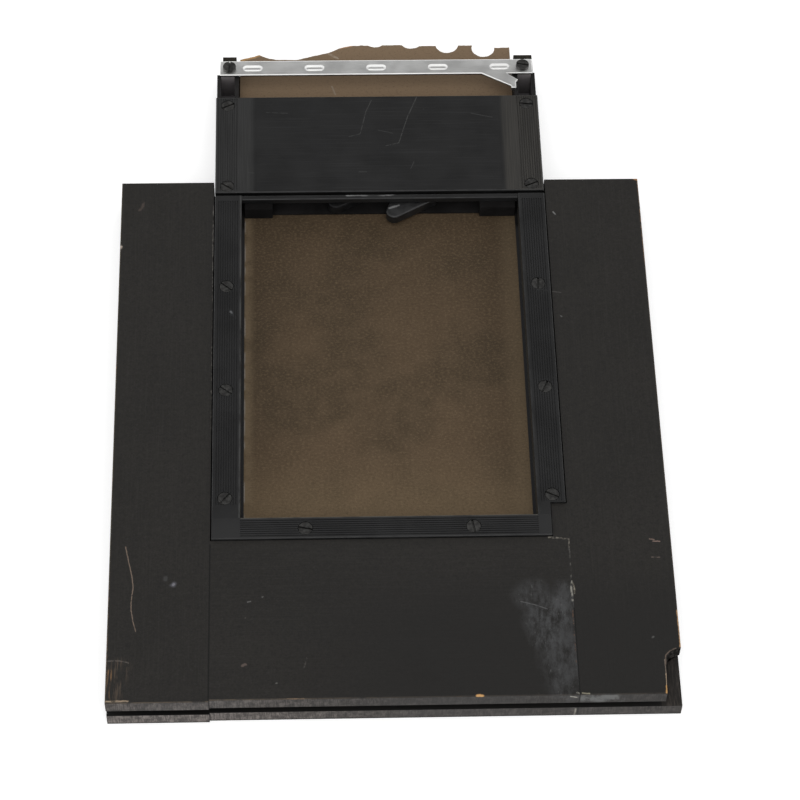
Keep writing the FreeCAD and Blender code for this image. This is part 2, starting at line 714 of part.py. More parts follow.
def trap_cover():
    body = new_body("trap_cover")
    pad_up(body, "plate", frame_seat, S.frame_top,
           [rectangle(-S.holder_half, S.holder_half, S.cover_low, S.cover_high)])
    break_edges(body, "top_edges", S.edge_break, straight_at(S.frame_top))
    outlines = []
    for side in (-1, 1):
        ridges = fine_grooves(S.holder_half - S.cover_strip, SIDE_GROOVES,
                              S.cover_low + S.end_margin, S.cover_high - S.end_margin)
        outlines += [mirrored(points, side) for points in ridges]
    cut_down(body, "fine_grooves", S.frame_top, S.fine_groove_deep, outlines)
    counterbores(body, [(S.screw_x * side, y) for y in COVER_SCREW_Y for side in (-1, 1)])
    return body


# ---------------------------------------------------------------- light trap and film side

def trap_leaf_spring():
    """A strip bowed between the trap bar and the cover."""
    body = new_body("trap_leaf_spring")
    low, high = S.trap_bar_top, S.trap_bar_top + S.spring_rise
    under = [(-S.spring_end_x, low), (-S.spring_flat_x, high), (S.spring_flat_x, high),
             (S.spring_end_x, low)]
    section = under + [(x, z + S.spring_thick) for x, z in reversed(under)]
    pad_along_y(body, "strip", S.spring_low, S.spring_low + S.spring_wide, section)
    return body


def film_guide(side, label):
    """A lip over one long edge of the film."""
    body = new_body(label)
    outer = S.channel_inner - S.guide_play
    web = S.film_half_x + S.guide_play
    top = S.slide_z - S.slide_gap
    lip_low = S.septum_top + S.guide_lip_gap
    section = [
        (web, S.septum_top), (outer, S.septum_top), (outer, top),
        (S.guide_lip, top), (S.guide_lip, lip_low), (web, lip_low),
    ]
    pad_along_y(body, "section", S.film_low, S.window_half_y, mirrored(section, side))
    return body


# ---------------------------------------------------------------- moving pieces

def dark_slide():
    body = new_body("dark_slide")
    outline = [(-S.slide_half, S.slide_low), (S.slide_half, S.slide_low)] + TORN_END[::-1]
    pad_up(body, "sheet", S.slide_z, S.slide_z + S.slide_thick, [outline])
    cut_down(body, "torn_holes", S.slide_z + S.slide_thick, S.slide_thick,
             circles=[(x, y, TORN_HOLE_RADIUS) for x, y in TORN_HOLES])
    return body


def round_outline(circles):
    """The closed outline stretched round circles, given anticlockwise as (x, y, radius)."""
    following = circles[1:] + circles[:1]
    angles = []
    for (x1, y1, r1), (x2, y2, r2) in zip(circles, following):
        distance = math.hypot(x2 - x1, y2 - y1)
        angles.append(math.atan2(y2 - y1, x2 - x1) - math.acos((r1 - r2) / distance))
    edges = []
    for index, (x, y, radius) in enumerate(circles):
        start, end = angles[index - 1], angles[index]
        while end < start:
            end += 2 * math.pi
        stops = [Vector(x + radius * math.cos(a), y + radius * math.sin(a), 0)
                 for a in (start, (start + end) / 2, end)]
        edges.append(Part.Arc(*stops).toShape())
        nx, ny, n_radius = following[index]
        landing = Vector(nx + n_radius * math.cos(end), ny + n_radius * math.sin(end), 0)
        edges.append(Part.LineSegment(stops[2], landing).toShape())
    return Part.Wire(Part.__sortEdges__(edges))


# Lever shape about its own pivot: nose and tail centres
NOSE = (-3.5, -10.4)
TAIL = (14.75, -3.4)
LEFT_LEVER_TURN = -84.0


def lever(side, label, turn):
    """A leaf-shaped turning lever; the left one is the mirror image, turned away."""
    sizes = {name: sheet.get(name) for name in
             ("lever_nose", "lever_hub", "lever_tip", "lever_thick", "lever_round",
              "pin_radius", "pin_play", "lever_pivot_x", "lever_pivot_y", "lever_z")}
    circles = [(NOSE[0] * side, NOSE[1], sizes["lever_nose"]),
               (TAIL[0] * side, TAIL[1], sizes["lever_tip"]), (0, 0, sizes["lever_hub"])]
    if side < 0:
        circles.reverse()
    solid = Part.Face(round_outline(circles)).extrude(Vector(0, 0, sizes["lever_thick"]))
    top = [edge for edge in solid.Edges
           if all(abs(corner.Z - sizes["lever_thick"]) < 1e-6 for corner in edge.Vertexes)]
    solid = solid.makeFillet(sizes["lever_round"], top)
    hole = Part.makeCylinder(sizes["pin_radius"] + sizes["pin_play"],
                             sizes["lever_thick"] + 2 * OVERSHOOT, Vector(0, 0, -OVERSHOOT))
    piece = doc.addObject("Part::Feature", label)
    piece.Label = label
    piece.Shape = solid.cut(hole)
    piece.Placement = FreeCAD.Placement(
        Vector(sizes["lever_pivot_x"] * side, sizes["lever_pivot_y"], sizes["lever_z"]),
        FreeCAD.Rotation(Vector(0, 0, 1), turn))
    return piece


def lever_pins():
    members = []
    for side, name in ((-1, "left"), (1, "right")):
        stem = cylinder(f"{name}_pin_stem", S.pin_radius, gate_z, S.pin_head_z)
        head = cylinder(f"{name}_pin_head", S.pin_head_radius, S.pin_head_z, S.pin_top)
        for piece in (stem, head):
            bind(piece, "Placement.Base.x", S.lever_pivot_x * side)
            bind(piece, "Placement.Base.y", S.lever_pivot_y)
        members.append(boolean("Fuse", f"{name}_pin", stem, head))
    return group("lever_pins", members)


# ---------------------------------------------------------------- end strip

def end_strip():
    body = new_body("end_strip")
    high = S.strip_low + S.strip_wide
    outline = [
        (S.strip_left, S.strip_low), (TAB_START, S.strip_low), TAB_SHOULDER,
        (S.lug_left, S.lug_near), (S.lug_right, S.lug_near), *TAB_END, (TAB_ROOT, S.strip_low),
        (S.strip_right, S.strip_low), (S.strip_right, high), (S.strip_left, high),
    ]
    pad_up(body, "strip", S.block_top, strip_top, [outline])
    pad_up(body, "turned_down_lug", frame_seat + S.lug_clear, S.block_top,
           [rectangle(S.lug_left, S.lug_right, S.lug_near, S.lug_near + S.lug_thick)])
    cut_down(body, "screw_holes", strip_top, S.strip_thick,
             circles=[(S.strip_screw_x * side, S.strip_screw_y, S.pilot_radius) for side in (-1, 1)])
    for number in range(OVALS):
        step_across = S.oval_pitch * (number - (OVALS - 1) / 2)
        oval = body.newObject("PartDesign::AdditiveEllipsoid", f"oval_{number + 1}")
        bind(oval, "Radius1", S.oval_high)
        bind(oval, "Radius2", S.oval_half_long)
        bind(oval, "Radius3", S.oval_half_wide)
        oval.Angle1 = 0
        plane = next(item for item in body.Origin.OriginFeatures if item.Role == "XY_Plane")
        oval.AttachmentSupport = [(plane, "")]
        oval.MapMode = "FlatFace"
        place = Vector(step_across.value, S.oval_y.value, strip_top.value)
        oval.AttachmentOffset = FreeCAD.Placement(place, FreeCAD.Rotation())
        bind(oval, "AttachmentOffset.Base.x", step_across)
        bind(oval, "AttachmentOffset.Base.y", S.oval_y)
        bind(oval, "AttachmentOffset.Base.z", strip_top)
        body.Tip = oval
    return body


# ---------------------------------------------------------------- screws

def screw(label, x, y, seat, slot_turn):
    """A slotted cheese-head screw whose head stands on a seat."""
    x, y = as_size(x), as_size(y)
    head_radius, shank = S.head_radius, S.shank_long
    top = seat + S.head_high
    head = cylinder(label + "_head", head_radius, seat, top)
    stem = cylinder(label + "_shank", S.shank_radius, seat - shank, seat)
    whole = boolean("Fuse", label + "_whole", head, stem)
    slot = box(label + "_slot", -head_radius - OVERSHOOT, head_radius + OVERSHOOT,
               -S.slot_wide * 0.5, S.slot_wide * 0.5, top - S.slot_deep, top + OVERSHOOT)
    result = boolean("Cut", label, whole, slot)
    result.Placement = FreeCAD.Placement(Vector(x.value, y.value, 0),
                                         FreeCAD.Rotation(Vector(0, 0, 1), slot_turn))
    bind(result, "Placement.Base.x", x)
    bind(result, "Placement.Base.y", y)
    return result


SIDES = (("left", -1), ("right", 1))


def frame_screws():
    seat = S.frame_top - S.bore_deep
    members = []
    for name, side in SIDES:
        places = [(S.screw_x * side, y) for y in FRAME_SCREW_Y]
        places.append((S.bottom_screw_x * side, S.bottom_screw_y))
        for number, ((x, y), turn) in enumerate(zip(places, FRAME_SLOT_TURNS[name]), start=1):
            members.append(screw(f"{name}_frame_screw_{number}", x, y, seat, turn))
    return group("frame_screws", members)


def cover_screws():
    seat = S.frame_top - S.bore_deep
    members = []
    for name, side in SIDES:
        for number, (y, turn) in enumerate(zip(COVER_SCREW_Y, COVER_SLOT_TURNS[name]), start=1):
            members.append(screw(f"{name}_cover_screw_{number}", S.screw_x * side, y, seat, turn))
    return group("cover_screws", members)


def end_strip_screws():
    return group("end_strip_screws", [
        screw(f"{name}_strip_screw", S.strip_screw_x * side, S.strip_screw_y, strip_top,
              STRIP_SLOT_TURNS[name]) for name, side in SIDES])


def back_plate_screws():
    """Thin-headed wood screws, sunk in the back plate and driven up into the board."""
    members = []
    for number, (x, y) in enumerate(back_screw_places(), start=1):
        name = f"back_screw_{number}"
        head = cylinder(name + "_head", S.head_radius, S.back_head_low, S.back_recess)
        stem = cylinder(name + "_shank", S.shank_radius, S.back_recess, S.back_shank_high)
        whole = boolean("Fuse", name + "_whole", head, stem)
        slot = box(name + "_slot", -S.head_radius - OVERSHOOT, S.head_radius + OVERSHOOT,
                   -S.slot_wide * 0.5, S.slot_wide * 0.5, -OVERSHOOT, S.back_slot_high)
        result = boolean("Cut", name, whole, slot)
        result.Placement = FreeCAD.Placement(
            Vector(x.value, y.value, 0),
            FreeCAD.Rotation(Vector(0, 0, 1), BACK_SLOT_TURN * number))
        bind(result, "Placement.Base.x", x)
        bind(result, "Placement.Base.y", y)
        members.append(result)
    return group("back_plate_screws", members)


# ---------------------------------------------------------------- the whole object

def build_all():
    inside = S.channel_inner - S.easy_gap
    velvet_low = S.slide_z + S.slide_thick + S.velvet_gap
    rear_velvet_top = S.slide_z - S.velvet_gap
    rear_velvet_low = rear_velvet_top - S.rear_velvet_thick
    bar_low = velvet_low + S.front_velvet_thick
    return [
        left_stile(), right_stile(), board_bottom_rail(),
        joint_spline(-1, "left_joint_spline"), joint_spline(1, "right_joint_spline"),
        side_channel(-1, "left_side_channel", S.holder_low + S.easy_gap),
        side_channel(1, "right_side_channel", S.lug_high + S.lug_gap),
        bottom_channel(), back_plate(), back_plate_screws(),
        end_block(-1, "left_end_block", LEFT_END_BLOCK),
        end_block(1, "right_end_block", RIGHT_END_BLOCK),
        screw_blocks(-1, "left_screw_blocks"), screw_blocks(1, "right_screw_blocks"),
        side_frame_rail(-1, "left_frame_rail"), side_frame_rail(1, "right_frame_rail"),
        bottom_frame_rail(), crossbar(), gate_plate(),
        corner_block("left_corner_block", LEFT_CORNER_BLOCK),
        corner_block("right_corner_block", RIGHT_CORNER_BLOCK),
        trap_cover(),
        box("trap_bar", -inside, inside, S.trap_low, S.cover_high, bar_low, S.trap_bar_top),
        box("trap_rear_bar", -inside, inside, S.trap_low, S.cover_high, S.back_thick, rear_velvet_low),
        box("front_velvet", -inside, inside, S.trap_low + S.velvet_inset,
            S.cover_high - S.velvet_inset, velvet_low, bar_low),
        box("rear_velvet", -inside, inside, S.trap_low + S.velvet_inset,
            S.cover_high - S.velvet_inset, rear_velvet_low, rear_velvet_top),
        trap_leaf_spring(),
        box("film_septum", -inside, inside, S.bottom_inner + S.easy_gap, S.gate_high,
            S.back_thick, S.septum_top),
        film_guide(-1, "left_film_guide"), film_guide(1, "right_film_guide"),
        box("film_sheet", -S.film_half_x, S.film_half_x, S.film_low, S.film_low + S.film_long,
            S.septum_top, S.septum_top + S.film_thick),
        dark_slide(), lever(-1, "left_lever", LEFT_LEVER_TURN), lever(1, "right_lever", 0.0),
        lever_pins(), end_strip(), end_strip_screws(), frame_screws(), cover_screws(),
    ]


def check_and_write(pieces):
    doc.recompute()
    for item in doc.Objects:
        if {"Invalid", "Error"} & set(item.State):
            raise SystemExit(f"{item.Name}: {item.State}")
    os.makedirs("parts", exist_ok=True)
    for piece in pieces:
        shape = piece.Shape
        if shape.isNull() or not shape.isValid() or not shape.Solids:
            raise SystemExit(f"{piece.Label}: bad shape")
        shape.exportStep(f"parts/{piece.Label}.step")
        print(f"{piece.Label:24s} solids {len(shape.Solids):2d}  volume {shape.Volume / 1000:9.3f} cm3")


check_and_write(build_all())
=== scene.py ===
"""Sheet film holder in its wooden adapter board.

Fine shapes, finishes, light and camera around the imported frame.
"""
import math

import bmesh
import bpy
from mathutils import Euler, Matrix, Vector, noise


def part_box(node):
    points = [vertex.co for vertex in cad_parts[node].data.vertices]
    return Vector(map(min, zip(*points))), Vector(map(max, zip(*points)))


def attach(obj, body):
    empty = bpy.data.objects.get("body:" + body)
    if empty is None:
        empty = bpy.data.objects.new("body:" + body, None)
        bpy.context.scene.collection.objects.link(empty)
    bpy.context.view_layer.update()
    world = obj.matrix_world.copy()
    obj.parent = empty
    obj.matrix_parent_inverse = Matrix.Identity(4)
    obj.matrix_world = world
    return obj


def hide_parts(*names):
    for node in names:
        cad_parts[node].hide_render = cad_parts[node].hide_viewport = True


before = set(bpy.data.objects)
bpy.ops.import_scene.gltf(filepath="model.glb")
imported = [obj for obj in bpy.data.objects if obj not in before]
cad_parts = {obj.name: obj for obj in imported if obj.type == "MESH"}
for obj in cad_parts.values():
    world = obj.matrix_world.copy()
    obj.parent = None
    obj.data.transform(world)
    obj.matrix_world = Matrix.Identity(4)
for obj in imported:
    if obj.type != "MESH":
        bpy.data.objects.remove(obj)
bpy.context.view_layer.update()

MM = 0.001

# The whole board, from its members' boxes: lower left corner of the top face, and the far right edge
BOARD_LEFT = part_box("left_stile")[0].x
BOARD_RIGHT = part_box("right_stile")[1].x
BOARD_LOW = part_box("board_bottom_rail")[0].y
BOARD_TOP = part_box("board_bottom_rail")[1].z
# Four pieces' boxes, each as its lower and upper corner
COVER_LOW, COVER_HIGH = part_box("trap_cover")
BAR_LOW, BAR_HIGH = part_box("crossbar")
SLIDE_LOW, SLIDE_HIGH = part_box("dark_slide")
STRIP_LOW, STRIP_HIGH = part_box("end_strip")
# The window's half width and lower edge
WINDOW_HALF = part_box("left_frame_rail")[1].x * -1
WINDOW_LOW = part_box("bottom_frame_rail")[1].y
# Half width of the slide that shows between the gate plate's arms, and the board's two joints
SEEN_HALF = WINDOW_HALF - 0.0012
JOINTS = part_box("board_bottom_rail")[0].x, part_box("board_bottom_rail")[1].x
# How far each joint shows as a dark line from the near edge
OPEN_JOINTS = 0.0725, 0.0400
# Heights of the groove round the board's edge, and of the frame rails' fluted faces
GROOVE_LOW, GROOVE_HIGH = 0.0069, 0.0111
FLUTE_TOP = 0.0187
# The end strip's seat, the end blocks' near faces, the levers' top and the middle of a channel
STRIP_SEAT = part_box("left_end_block")[1].z
PLUG_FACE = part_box("left_end_block")[0].y
LEVER_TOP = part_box("right_lever")[1].z
CHANNEL_MIDDLE = 0.5 * (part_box("right_side_channel")[0].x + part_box("right_side_channel")[1].x)

# The broken chip in the right stile's lip, in mm: its width and length from the board's corner
CHIP_WIDE, CHIP_LONG = 8.5, 22.0


def placer(left, near, height):
    """A function that puts points on a face that looks up, given in mm from this place."""
    return lambda *points: [Vector((left + x * MM, near + y * MM, height)) for x, y in points]


# From the board's lower left corner, the middle of the cover's near edge, the middle of the slide's far end,
# and the middle of the window
on_board = placer(BOARD_LEFT, BOARD_LOW, BOARD_TOP)
on_cover = placer(0.0, COVER_LOW.y, COVER_HIGH.z)
on_slide = placer(0.0, SLIDE_HIGH.y, SLIDE_HIGH.z)
on_rails = placer(0.0, 0.0, FLUTE_TOP)


def on_near_face(*points):
    """Points on the board's near end faces: mm from its left corner, and height in mm."""
    return [Vector((BOARD_LEFT + x * MM, BOARD_LOW, height * MM)) for x, height in points]


# ---------------------------------------------------------------- camera, light and floor

CAMERA_PLACE = (-0.032, -0.6909, 1.0291)
CAMERA_TURN = (33.4, -1.13, -1.56)
LENS = 126.45
SENSOR = 36.0
SKY_HORIZON, SKY_OVERHEAD = 1.25, 0.28
SKY_BAND_LOW, SKY_BAND_HIGH = 0.30, 0.76
KEY_PLACE, KEY_SIZE, KEY_WATTS = (0, -0.55, 1.6), 2.2, 14.5
FLOOR_GLOW = 0.48


def add_camera():
    data = bpy.data.cameras.new("camera")
    data.lens = LENS
    data.sensor_width = SENSOR
    data.clip_start, data.clip_end = 0.01, 50
    camera = bpy.data.objects.new("camera", data)
    camera.location = CAMERA_PLACE
    camera.rotation_euler = Euler([math.radians(angle) for angle in CAMERA_TURN])
    bpy.context.scene.collection.objects.link(camera)
    bpy.context.scene.camera = camera


def add_softbox(name, place, target, size, watts):
    data = bpy.data.lights.new(name, "AREA")
    data.shape = "SQUARE"
    data.size = size
    data.energy = watts
    light = bpy.data.objects.new(name, data)
    light.location = place
    aim = Vector(target) - Vector(place)
    light.rotation_euler = aim.to_track_quat("-Z", "Y").to_euler()
    bpy.context.scene.collection.objects.link(light)


def add_sky():
    """Soft even light, brighter all round near the horizon than overhead."""
    world = bpy.data.worlds.new("studio")
    world.use_nodes = True
    tree = world.node_tree
    where = tree.nodes.new("ShaderNodeTexCoord")
    split = tree.nodes.new("ShaderNodeSeparateXYZ")
    fade = tree.nodes.new("ShaderNodeMapRange")
    fade.interpolation_type = "SMOOTHSTEP"
    band = SKY_BAND_LOW, SKY_BAND_HIGH, SKY_HORIZON, SKY_OVERHEAD
    for socket, value in zip(list(fade.inputs)[1:5], band):
        socket.default_value = value
    tree.links.new(where.outputs["Generated"], split.inputs[0])
    tree.links.new(split.outputs["Z"], fade.inputs["Value"])
    tree.links.new(fade.outputs["Result"], tree.nodes["Background"].inputs["Strength"])
    tree.nodes["Background"].inputs["Color"].default_value = (1.0, 1.0, 1.0, 1.0)
    bpy.context.scene.world = world


def add_studio():
    scene = bpy.context.scene
    scene.view_settings.view_transform = "Standard"
    add_sky()
    add_softbox("softbox", KEY_PLACE, (0, 0, 0), KEY_SIZE, KEY_WATTS)

    bm = bmesh.new()
    bmesh.ops.create_grid(bm, x_segments=1, y_segments=1, size=4.0)
    mesh = bpy.data.meshes.new("floor")
    bm.to_mesh(mesh)
    bm.free()
    floor = bpy.data.objects.new("floor", mesh)
    scene.collection.objects.link(floor)
    white = Finish("floor_white", colour=(0.9, 0.9, 0.9), rough=0.9)
    white.put("Emission Color", (1.0, 1.0, 1.0, 1.0))
    white.put("Emission Strength", FLOOR_GLOW)
    floor.data.materials.append(white.material)


# ---------------------------------------------------------------- finishes

class Finish:
    """One procedural material, with short calls for the nodes that it is made of."""

    def __init__(self, name, colour=(0.5, 0.5, 0.5), rough=0.5, metal=0.0, specular=0.5):
        self.material = bpy.data.materials.new(name)
        self.material.use_nodes = True
        self.tree = self.material.node_tree
        self.shader = self.tree.nodes["Principled BSDF"]
        self.put("Base Color", (*colour, 1.0))
        self.put("Roughness", rough)
        self.put("Metallic", metal)
        self.put("Specular IOR Level", specular)
        where = self.tree.nodes.new("ShaderNodeTexCoord")
        self.place = where.outputs["Object"]
        # Which way the surface looks, the place in metres, and how far it is from the middle plane
        facing = self.add("ShaderNodeSeparateXYZ", {0: where.outputs["Normal"]}, node=True)
        self.facing = facing.outputs
        self.at = self.add("ShaderNodeSeparateXYZ", {0: self.place}, node=True).outputs
        self.across = self.math("ABSOLUTE", self.at[0])
        self.colour = colour
        self.relief = None

    def put(self, socket, value):
        """Set or link one of the shader's own sockets."""
        self.join(self.shader.inputs[socket], value)

    def join(self, socket, value):
        if isinstance(value, bpy.types.NodeSocket):
            self.tree.links.new(value, socket)
        else:
            socket.default_value = value

    def add(self, kind, inputs, output=0, node=False, **settings):
        made = self.tree.nodes.new(kind)
        for name, value in settings.items():
            setattr(made, name, value)
        for key, value in inputs.items():
            self.join(made.inputs[key], value)
        return made if node else made.outputs[output]

    def math(self, operation, first, second=0.0):
        return self.add("ShaderNodeMath", {0: first, 1: second}, operation=operation)

    def vector(self, operation, first, second=(0.0, 0.0, 0.0), output=0):
        return self.add("ShaderNodeVectorMath", {0: first, 1: second}, output, operation=operation)

    def both(self, *masks):
        result = masks[0]
        for mask in masks[1:]:
            result = self.math("MULTIPLY", result, mask)
        return result

    def either(self, *masks):
        result = masks[0]
        for mask in masks[1:]:
            result = self.math("MAXIMUM", result, mask)
        return result

    def step(self, value, low, high, start=0.0, end=1.0):
        """A soft step: start below low, end above high."""
        return self.add("ShaderNodeMapRange", {0: value, 1: low, 2: high, 3: start, 4: end},
                        interpolation_type="SMOOTHSTEP")

    def fall(self, value, low, high):
        """A soft step down: 1 below low, 0 above high."""
        return self.step(value, low, high, start=1.0, end=0.0)

    def grain(self, size, stretch=(1, 1, 1), detail=3.0, rough=0.55, seed=0.0, output=0):
        """Noise from 0 to 1 with features of this size in metres, longer along X, Y or Z by stretch."""
        scale = [1.0 / (size * factor) for factor in stretch]
        moved = self.vector("MULTIPLY", self.place, scale)
        moved = self.vector("ADD", moved, (seed, seed * 1.7, -seed))
        return self.add("ShaderNodeTexNoise", {
            "Vector": moved, "Scale": 1.0, "Detail": detail, "Roughness": rough}, output)

    def specks(self, spacing, radius, share, seed=0.0):
        """Scattered round spots: one in every spacing, kept for this share of the cells."""
        moved = self.vector("ADD", self.place, (seed, seed, 0.0))
        cells = self.add("ShaderNodeTexVoronoi", {"Vector": moved, "Scale": 1.0 / spacing}, node=True)
        pick = self.add("ShaderNodeSeparateXYZ", {0: cells.outputs["Color"]}, node=True)
        dot = self.fall(cells.outputs["Distance"], radius / spacing * 0.5, radius / spacing)
        return self.both(dot, self.step(pick.outputs[0], 1.0 - share - 0.01, 1.0 - share))

    def mix(self, mask, under, over):
        under = under if isinstance(under, bpy.types.NodeSocket) else (*under, 1.0)
        over = over if isinstance(over, bpy.types.NodeSocket) else (*over, 1.0)
        return self.add("ShaderNodeMix", {0: mask, 6: under, 7: over}, 2, data_type="RGBA")

    def coat(self, mask, tint):
        """Lay a tint over the colour so far, where the mask is 1."""
        self.colour = self.mix(mask, self.colour, tint)
        self.put("Base Color", self.colour)

    def bump(self, height, depth, strength=1.0):
        """Add relief of this depth in metres on top of the relief already there."""
        inputs = {"Strength": strength, "Distance": depth, "Height": height}
        if self.relief is not None:
            inputs["Normal"] = self.relief
        self.relief = self.add("ShaderNodeBump", inputs)
        self.put("Normal", self.relief)

    def edges(self, low=0.04, high=0.2):
        """A mask that is 1 where the surface is turned away from all three axes, as on a rounded edge."""
        sizes = [self.math("ABSOLUTE", self.facing[axis]) for axis in range(3)]
        return self.fall(self.either(*sizes), 1.0 - high, 1.0 - low)

    def rims(self, low=0.04, high=0.2):
        """The same for turned pieces, whose flat faces look along Z."""
        upright = self.math("ABSOLUTE", self.facing[2])
        round_part = self.math("SQRT", self.math("SUBTRACT", 1.0, self.math("MULTIPLY", upright, upright)))
        return self.fall(self.math("MAXIMUM", upright, round_part), 1.0 - high, 1.0 - low)

    def faces(self, axis, sign):
        """A mask of the faces that look along one axis."""
        return self.step(self.math("MULTIPLY", self.facing[axis], sign), 0.6, 0.9)

    def stroke(self, points, width, wobble=0.0, broken=0.0, seed=0.0):
        """A mask of a line through points, with a soft edge; wobble bends it and broken opens gaps in it."""
        place = self.place
        if wobble:
            shift = self.grain(8 * wobble, output=1, seed=seed)
            shift = self.vector("SUBTRACT", shift, (0.5, 0.5, 0.5))
            shift = self.vector("MULTIPLY", shift, [4 * wobble] * 3)
            place = self.vector("ADD", place, shift)
        masks = []
        for start, end in zip(points, points[1:]):
            along = end - start
            length = max(along.length, 1e-6)
            unit = along / length
            offset = self.vector("SUBTRACT", place, start)
            reach = self.vector("DOT_PRODUCT", offset, unit, 1)
            reach = self.math("MINIMUM", self.math("MAXIMUM", reach, 0.0), length)
            foot = self.add("ShaderNodeVectorMath", {0: unit, 3: reach}, operation="SCALE")
            away = self.vector("DISTANCE", offset, foot, 1)
            masks.append(self.fall(away, width * 0.25, width * 0.75))
        mask = self.either(*masks)
        if broken:
            gaps = self.grain(max(3 * width, 0.0015), seed=seed + 3)
            mask = self.both(mask, self.step(gaps, broken - 0.12, broken + 0.08))
        return mask


def painted_wood(name, along, marks):
    """Old matt black paint on wood; along is the grain's axis and marks adds this member's own damage."""
    paint = Finish(name, rough=0.62, specular=0.28)
    stretch = [1, 1, 1]
    stretch[along] = 40
    streaks = paint.grain(0.0007, stretch, detail=4)
    patches = paint.grain(0.035, detail=4, seed=4)
    fine = paint.grain(0.0009, detail=5, rough=0.7, seed=9)
    mottle = paint.grain(0.0022, detail=5, rough=0.75, seed=25)
    paint.colour = paint.mix(paint.step(patches, 0.35, 0.7), (0.0134, 0.0120, 0.0102),
                             (0.0184, 0.0165, 0.0142))
    paint.coat(paint.step(mottle, 0.48, 0.66, 0.0, 0.5), (0.0072, 0.0066, 0.0060))
    paint.coat(paint.step(mottle, 0.32, 0.46, 0.4, 0.0), (0.0285, 0.0262, 0.0232))
    paint.coat(paint.step(streaks, 0.45, 0.8, 0.0, 0.5), (0.0245, 0.0222, 0.0195))
    paint.coat(paint.step(fine, 0.5, 0.72, 0.0, 0.75), (0.0070, 0.0066, 0.0062))
    paint.coat(paint.step(fine, 0.30, 0.5, 0.5, 0.0), (0.0270, 0.0256, 0.0235))

    # The near faces get their own colour, lighter than the top: partly worn paint on the end grain, partly
    # painted light for the front light these faces catch. It is lighter again below the groove and darker
    # along the bottom millimetre.
    ticks = paint.grain(0.0005, (1, 1, 9), detail=3, seed=2)
    stains = paint.grain(0.0024, (1.3, 1, 1.3), detail=5, rough=0.75, seed=6)
    near_face_wear_and_light = paint.mix(paint.step(stains, 0.34, 0.66), (0.026, 0.022, 0.020), (0.118, 0.103, 0.094))
    near_face_wear_and_light = paint.mix(paint.step(ticks, 0.44, 0.60, 0.0, 0.7), near_face_wear_and_light, (0.015, 0.012, 0.011))
    below = paint.step(paint.at[2], GROOVE_LOW, GROOVE_HIGH, 1.5, 0.86)
    near_face_wear_and_light = paint.add("ShaderNodeVectorMath", {0: near_face_wear_and_light, 3: below}, operation="SCALE")
    lowest = paint.step(paint.at[2], 0.0005, 0.0012, 0.85, 0.0)
    near_face_wear_and_light = paint.mix(lowest, near_face_wear_and_light, (0.012, 0.010, 0.006))
    paint.coat(paint.faces(1, -1), near_face_wear_and_light)
    # Painted shade: the inside of the groove round the board's edge is coloured near black for the shade in
    # it.
    groove_middle = 0.5 * (GROOVE_LOW + GROOVE_HIGH)
    from_middle = paint.math("ABSOLUTE", paint.math("SUBTRACT", paint.at[2], groove_middle))
    inside = paint.fall(from_middle, 0.5 * (GROOVE_HIGH - GROOVE_LOW) + 0.00003,
                        0.5 * (GROOVE_HIGH - GROOVE_LOW) + 0.0002)
    paint.coat(inside, (0.0040, 0.0037, 0.0034))

    pale = paint.specks(0.012, 0.00042, 0.16)
    paint.coat(paint.both(pale, 0.35), (0.12, 0.11, 0.10))
    rust = paint.specks(0.019, 0.0005, 0.2, seed=0.5)
    paint.coat(paint.both(rust, 0.35), (0.09, 0.045, 0.025))

    worn = paint.grain(0.006, detail=6, rough=0.7, seed=14)
    rubbed = paint.both(paint.edges(), paint.step(worn, 0.36, 0.52))
    paint.coat(paint.both(rubbed, 0.7), (0.080, 0.062, 0.044))
    bare = paint.both(paint.edges(), paint.step(worn, 0.64, 0.69))
    bare_wood = paint.mix(paint.step(streaks, 0.3, 0.7), (0.36, 0.19, 0.075), (0.20, 0.10, 0.04))
    paint.coat(bare, bare_wood)
    for mask, tint in marks(paint):
        paint.coat(mask, tint)
    for x, reach in zip(JOINTS, OPEN_JOINTS):
        line = [Vector(place) for place in ((x, BOARD_LOW, 0.0), (x, BOARD_LOW, BOARD_TOP),
                                            (x, BOARD_LOW + reach, BOARD_TOP))]
        paint.coat(paint.stroke(line, 0.55 * MM), (0.0030, 0.0026, 0.0022))

    paint.put("Roughness", paint.step(patches, 0.3, 0.75, 0.55, 0.72))
    paint.bump(streaks, 0.00012, 0.45)
    paint.bump(fine, 0.00006, 0.4)
    return paint.material


def strokes(paint, place, rows):
    """Masks and tints for rows of points, width in mm, how broken the line is, and its colour."""
    for seed, (points, width, broken, tint) in enumerate(rows):
        mask = paint.stroke(place(*points), width * MM, wobble=0.3 * width * MM, broken=broken, seed=seed)
        yield mask, tint


